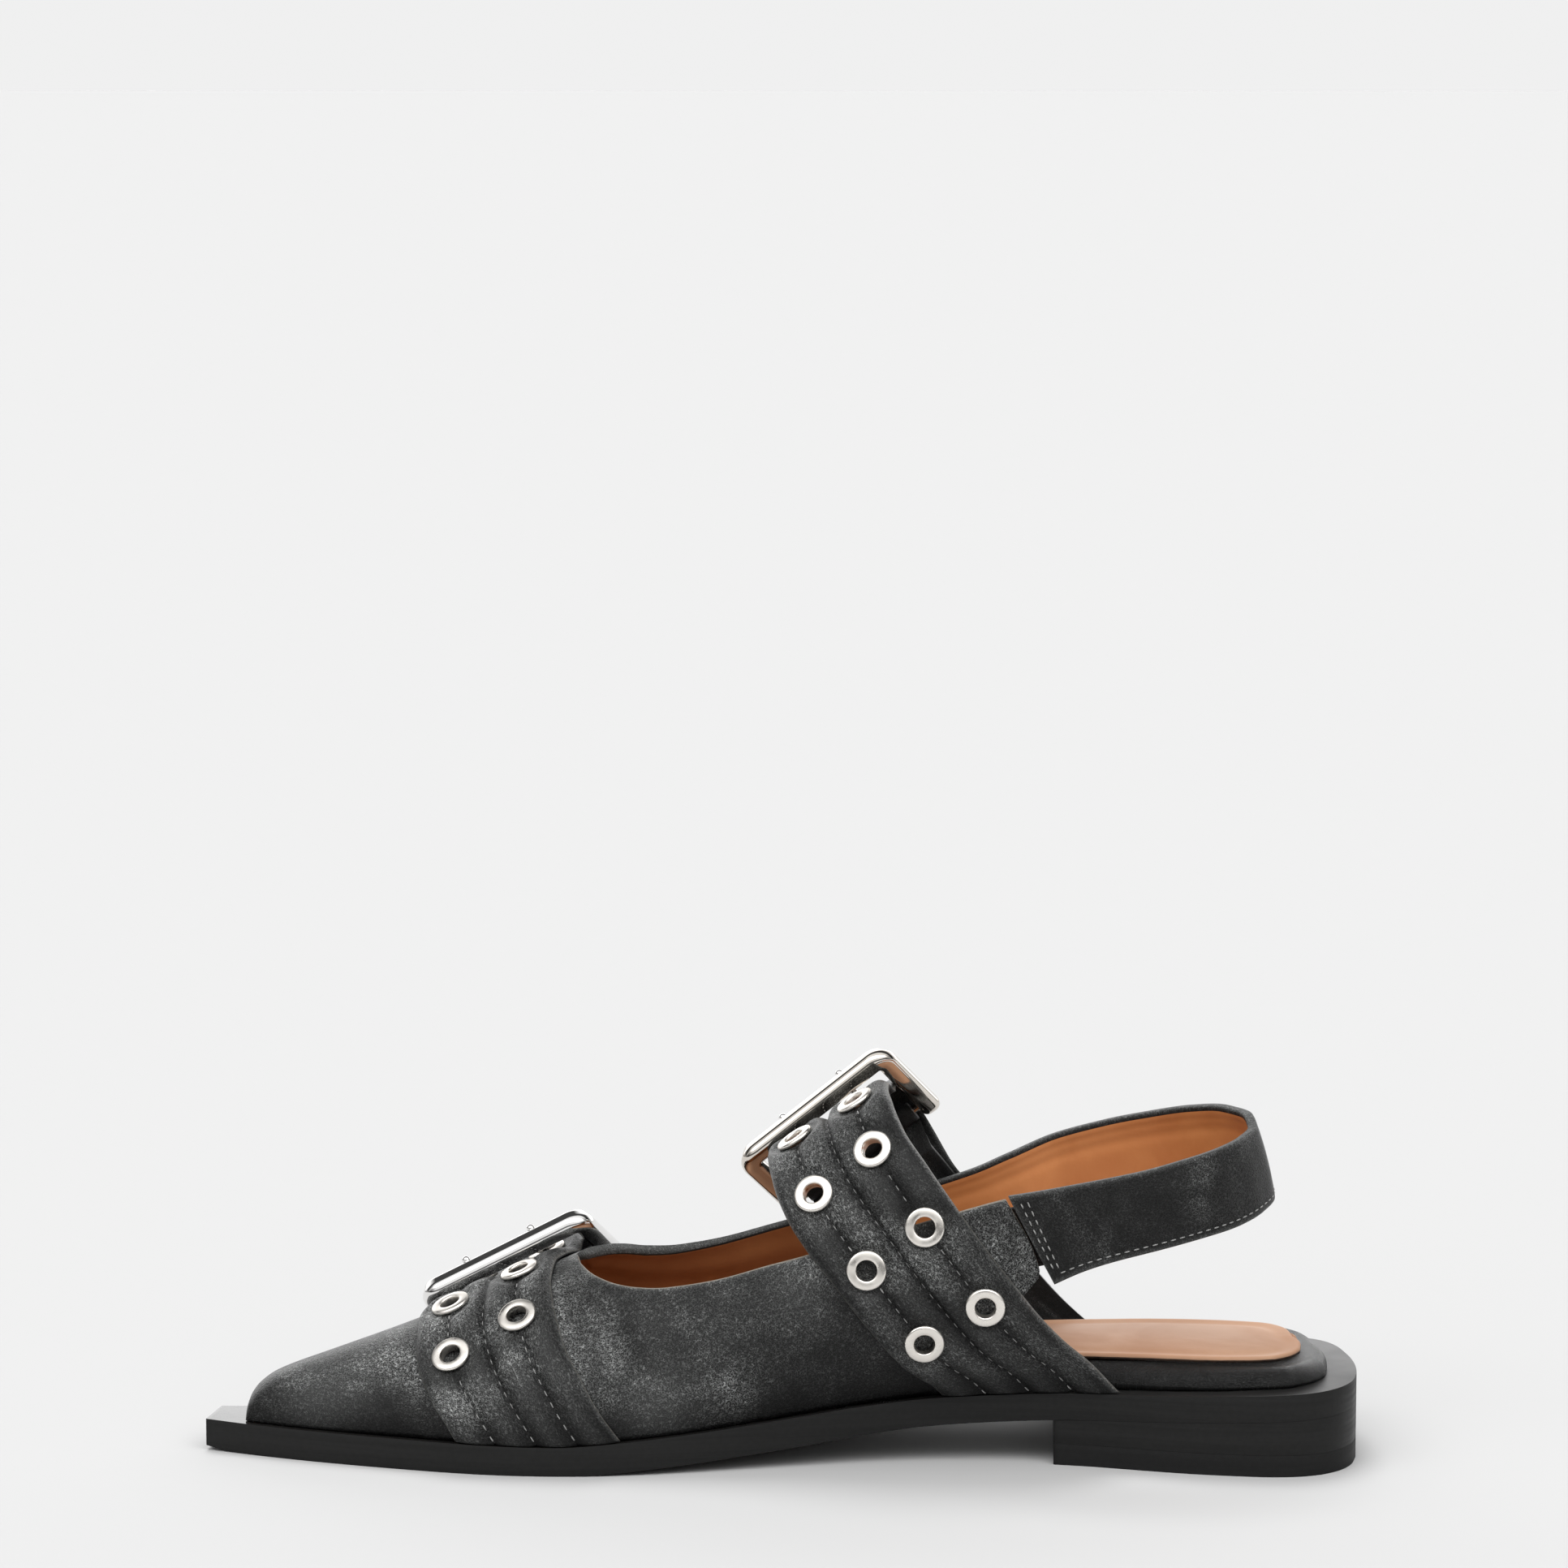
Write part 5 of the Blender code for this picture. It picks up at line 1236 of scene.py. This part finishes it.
# start and run are along and down the band, length and thick are half sizes of a stitch
def sewSeam(name, surface, out, start, run, length, thick, thread):
    def way(t):
        return start[0] + run[0] * t, start[1] + run[1] * t
    u, v = way(evenly(surface(*way(np.linspace(0, 1, slingMake["samples"]))), slingMake["pitch"]))
    points = surface(u, v)
    body = bmesh.new()
    for p, o, a in zip(points, out(u), unit(np.gradient(points, axis=0))):
        beadAt(body, p, a, o, length, thick, slingMake["sink"])
    made = asPiece(name, body, (thread,))


lowerIn = 1 - slingMake["stitchIn"] / slingMake["tall"]
sewSeam("slingLowerSeam", slingOuter, slingOut, (0.2, lowerIn), (0.782, 0), 0.75, 0.17, "greyThread")
sewSeam("slingInnerSeam", slingLining, slingInward, (0.15, lowerIn), (0.82, 0), 0.85, 0.24, "tanThread")
for number, back in enumerate((0.986, 0.975)):
    sewSeam(f"slingEndSeam{number}", slingOuter, slingOut, (back, 0.12), (0, 0.78), 0.75, 0.18, "greyThread")
print("slingback made")

# floor, backdrop, soft light and camera
stageMake = {"wide": 60.0, "front": 0.5, "pale": (0.547, 0.547, 0.547), "haze": 0.999, "glow": 5.0,
             "backdrop": 0.87,
             # lamp over the shoe for soft shade only: power, spread in degrees, where from
             "lamp": (1.55, 30, (-0.12, 0.42, 1.0)),
             # the studio, from the front floor line over the top to the back: place, brightness
             "dome": ((0.0, 0.14), (0.05, 0.16), (0.085, 0.9), (0.2, 1.0), (0.24, 2.8), (0.39, 3.2),
                      (0.42, 1.0), (0.55, 1.0), (0.59, 0.06), (0.72, 0.06), (0.78, 0.9), (0.88, 2.0),
                      (0.92, 2.6), (0.955, 2.2), (0.985, 0.87), (1.0, 0.87)),
             "ends": (0.58, 0.94, 0.18)}  # darker towards toe and heel: from, to, share left


def makeStage():
    f = Finish("pale_floor")
    pale, half, front = stageMake["pale"], stageMake["wide"] / 2, stageMake["front"]
    body = f.blend(f.noise(f.spot(), 3.0), tint(pale, stageMake["haze"]), pale)
    look = f.shade({"Base Color": body, "Roughness": 0.9, "Specular IOR Level": 0.0})
    for name, middle in (("paleFloor", half - front), ("paleFloorFront", -half - front)):
        body = bmesh.new()
        bmesh.ops.create_grid(body, x_segments=8, y_segments=8, size=half)
        bmesh.ops.translate(body, vec=(0, middle, 0), verts=body.verts)
        made = asObject(name, body, [look])
        made.visible_diffuse = made.visible_glossy = middle > 0  # the front floor is kept out of the gloss


def makeLight():
    power, soft, source = stageMake["lamp"]
    lamp = bpy.data.lights.new("softKey", "SUN")
    lamp.energy, lamp.angle = power, math.radians(soft)
    holder = bpy.data.objects.new("softKey", lamp)
    holder.rotation_euler = Vector(source).to_track_quat("Z", "Y").to_euler()
    holder.visible_glossy = False
    bpy.context.scene.collection.objects.link(holder)
    world = bpy.data.worlds.new("studio")
    bpy.context.scene.world = world
    world.use_nodes = True
    n, glow = Nodes(world.node_tree), stageMake["glow"]
    ways = n.add("SeparateXYZ", {"Vector": n.add("TexCoord", take="Generated")}).node.outputs
    angle = n.maths("ARCTAN2", ways["Z"], n.times(ways["Y"], -1.0))
    dome = n.add("ValToRGB", {"Fac": n.maths("DIVIDE", angle, math.pi)})
    stops = dome.node.color_ramp.elements
    while len(stops) < len(stageMake["dome"]):
        stops.new(0.5)
    for stop, (place, value) in zip(stops, stageMake["dome"]):
        stop.position = place
        stop.color = (*[value / glow] * 3, 1.0)
    seen = n.add("LightPath", take="Is Camera Ray")  # a plain pale backdrop from every side
    low, high, left = stageMake["ends"]
    side = n.spread(n.maths("ABSOLUTE", ways["X"]), low, high, glow, glow * left)
    shine = world.node_tree.nodes["Background"].inputs
    n.feed(shine["Color"], n.blend(seen, dome, [stageMake["backdrop"] / glow] * 3))
    n.feed(shine["Strength"], n.maths("MAXIMUM", side, n.times(seen, glow)))
    bpy.context.scene.view_settings.view_transform = "Standard"


makeStage()
makeLight()

viewMake = {"azimuth": 2.5, "elevation": 12.5, "distance": 1300.0, "focal": 6812.0,
            "target": (135.0, 0.0, 40.0), "targetPixel": (965.0, 1568.0), "image": 1932.0,
            "sensor": 36.0, "clip": (0.05, 200.0)}


# from level, straight along y, turned by az and tipped down by el
def lookAlong(az, el):
    return np.array([-math.sin(az) * math.cos(el), math.cos(az) * math.cos(el), -math.sin(el)])


def makeCamera():
    az, el = math.radians(viewMake["azimuth"]), math.radians(viewMake["elevation"])
    focal, half = viewMake["focal"], viewMake["image"] / 2
    across, down = (math.atan((pixel - half) / focal) for pixel in viewMake["targetPixel"])
    lens = bpy.data.cameras.new("photoView")
    lens.sensor_width = viewMake["sensor"]
    lens.lens = focal / viewMake["image"] * viewMake["sensor"]
    lens.clip_start, lens.clip_end = viewMake["clip"]
    camera = bpy.data.objects.new("photoView", lens)
    camera.location = Vector(toFrame(np.array(viewMake["target"]) - viewMake["distance"] * lookAlong(az, el)))
    camera.rotation_euler = Vector(lookAlong(az - across, el - down)).to_track_quat("-Z", "Y").to_euler()
    bpy.context.scene.collection.objects.link(camera)
    bpy.context.scene.camera = camera


makeCamera()
print("stage, light and camera set")
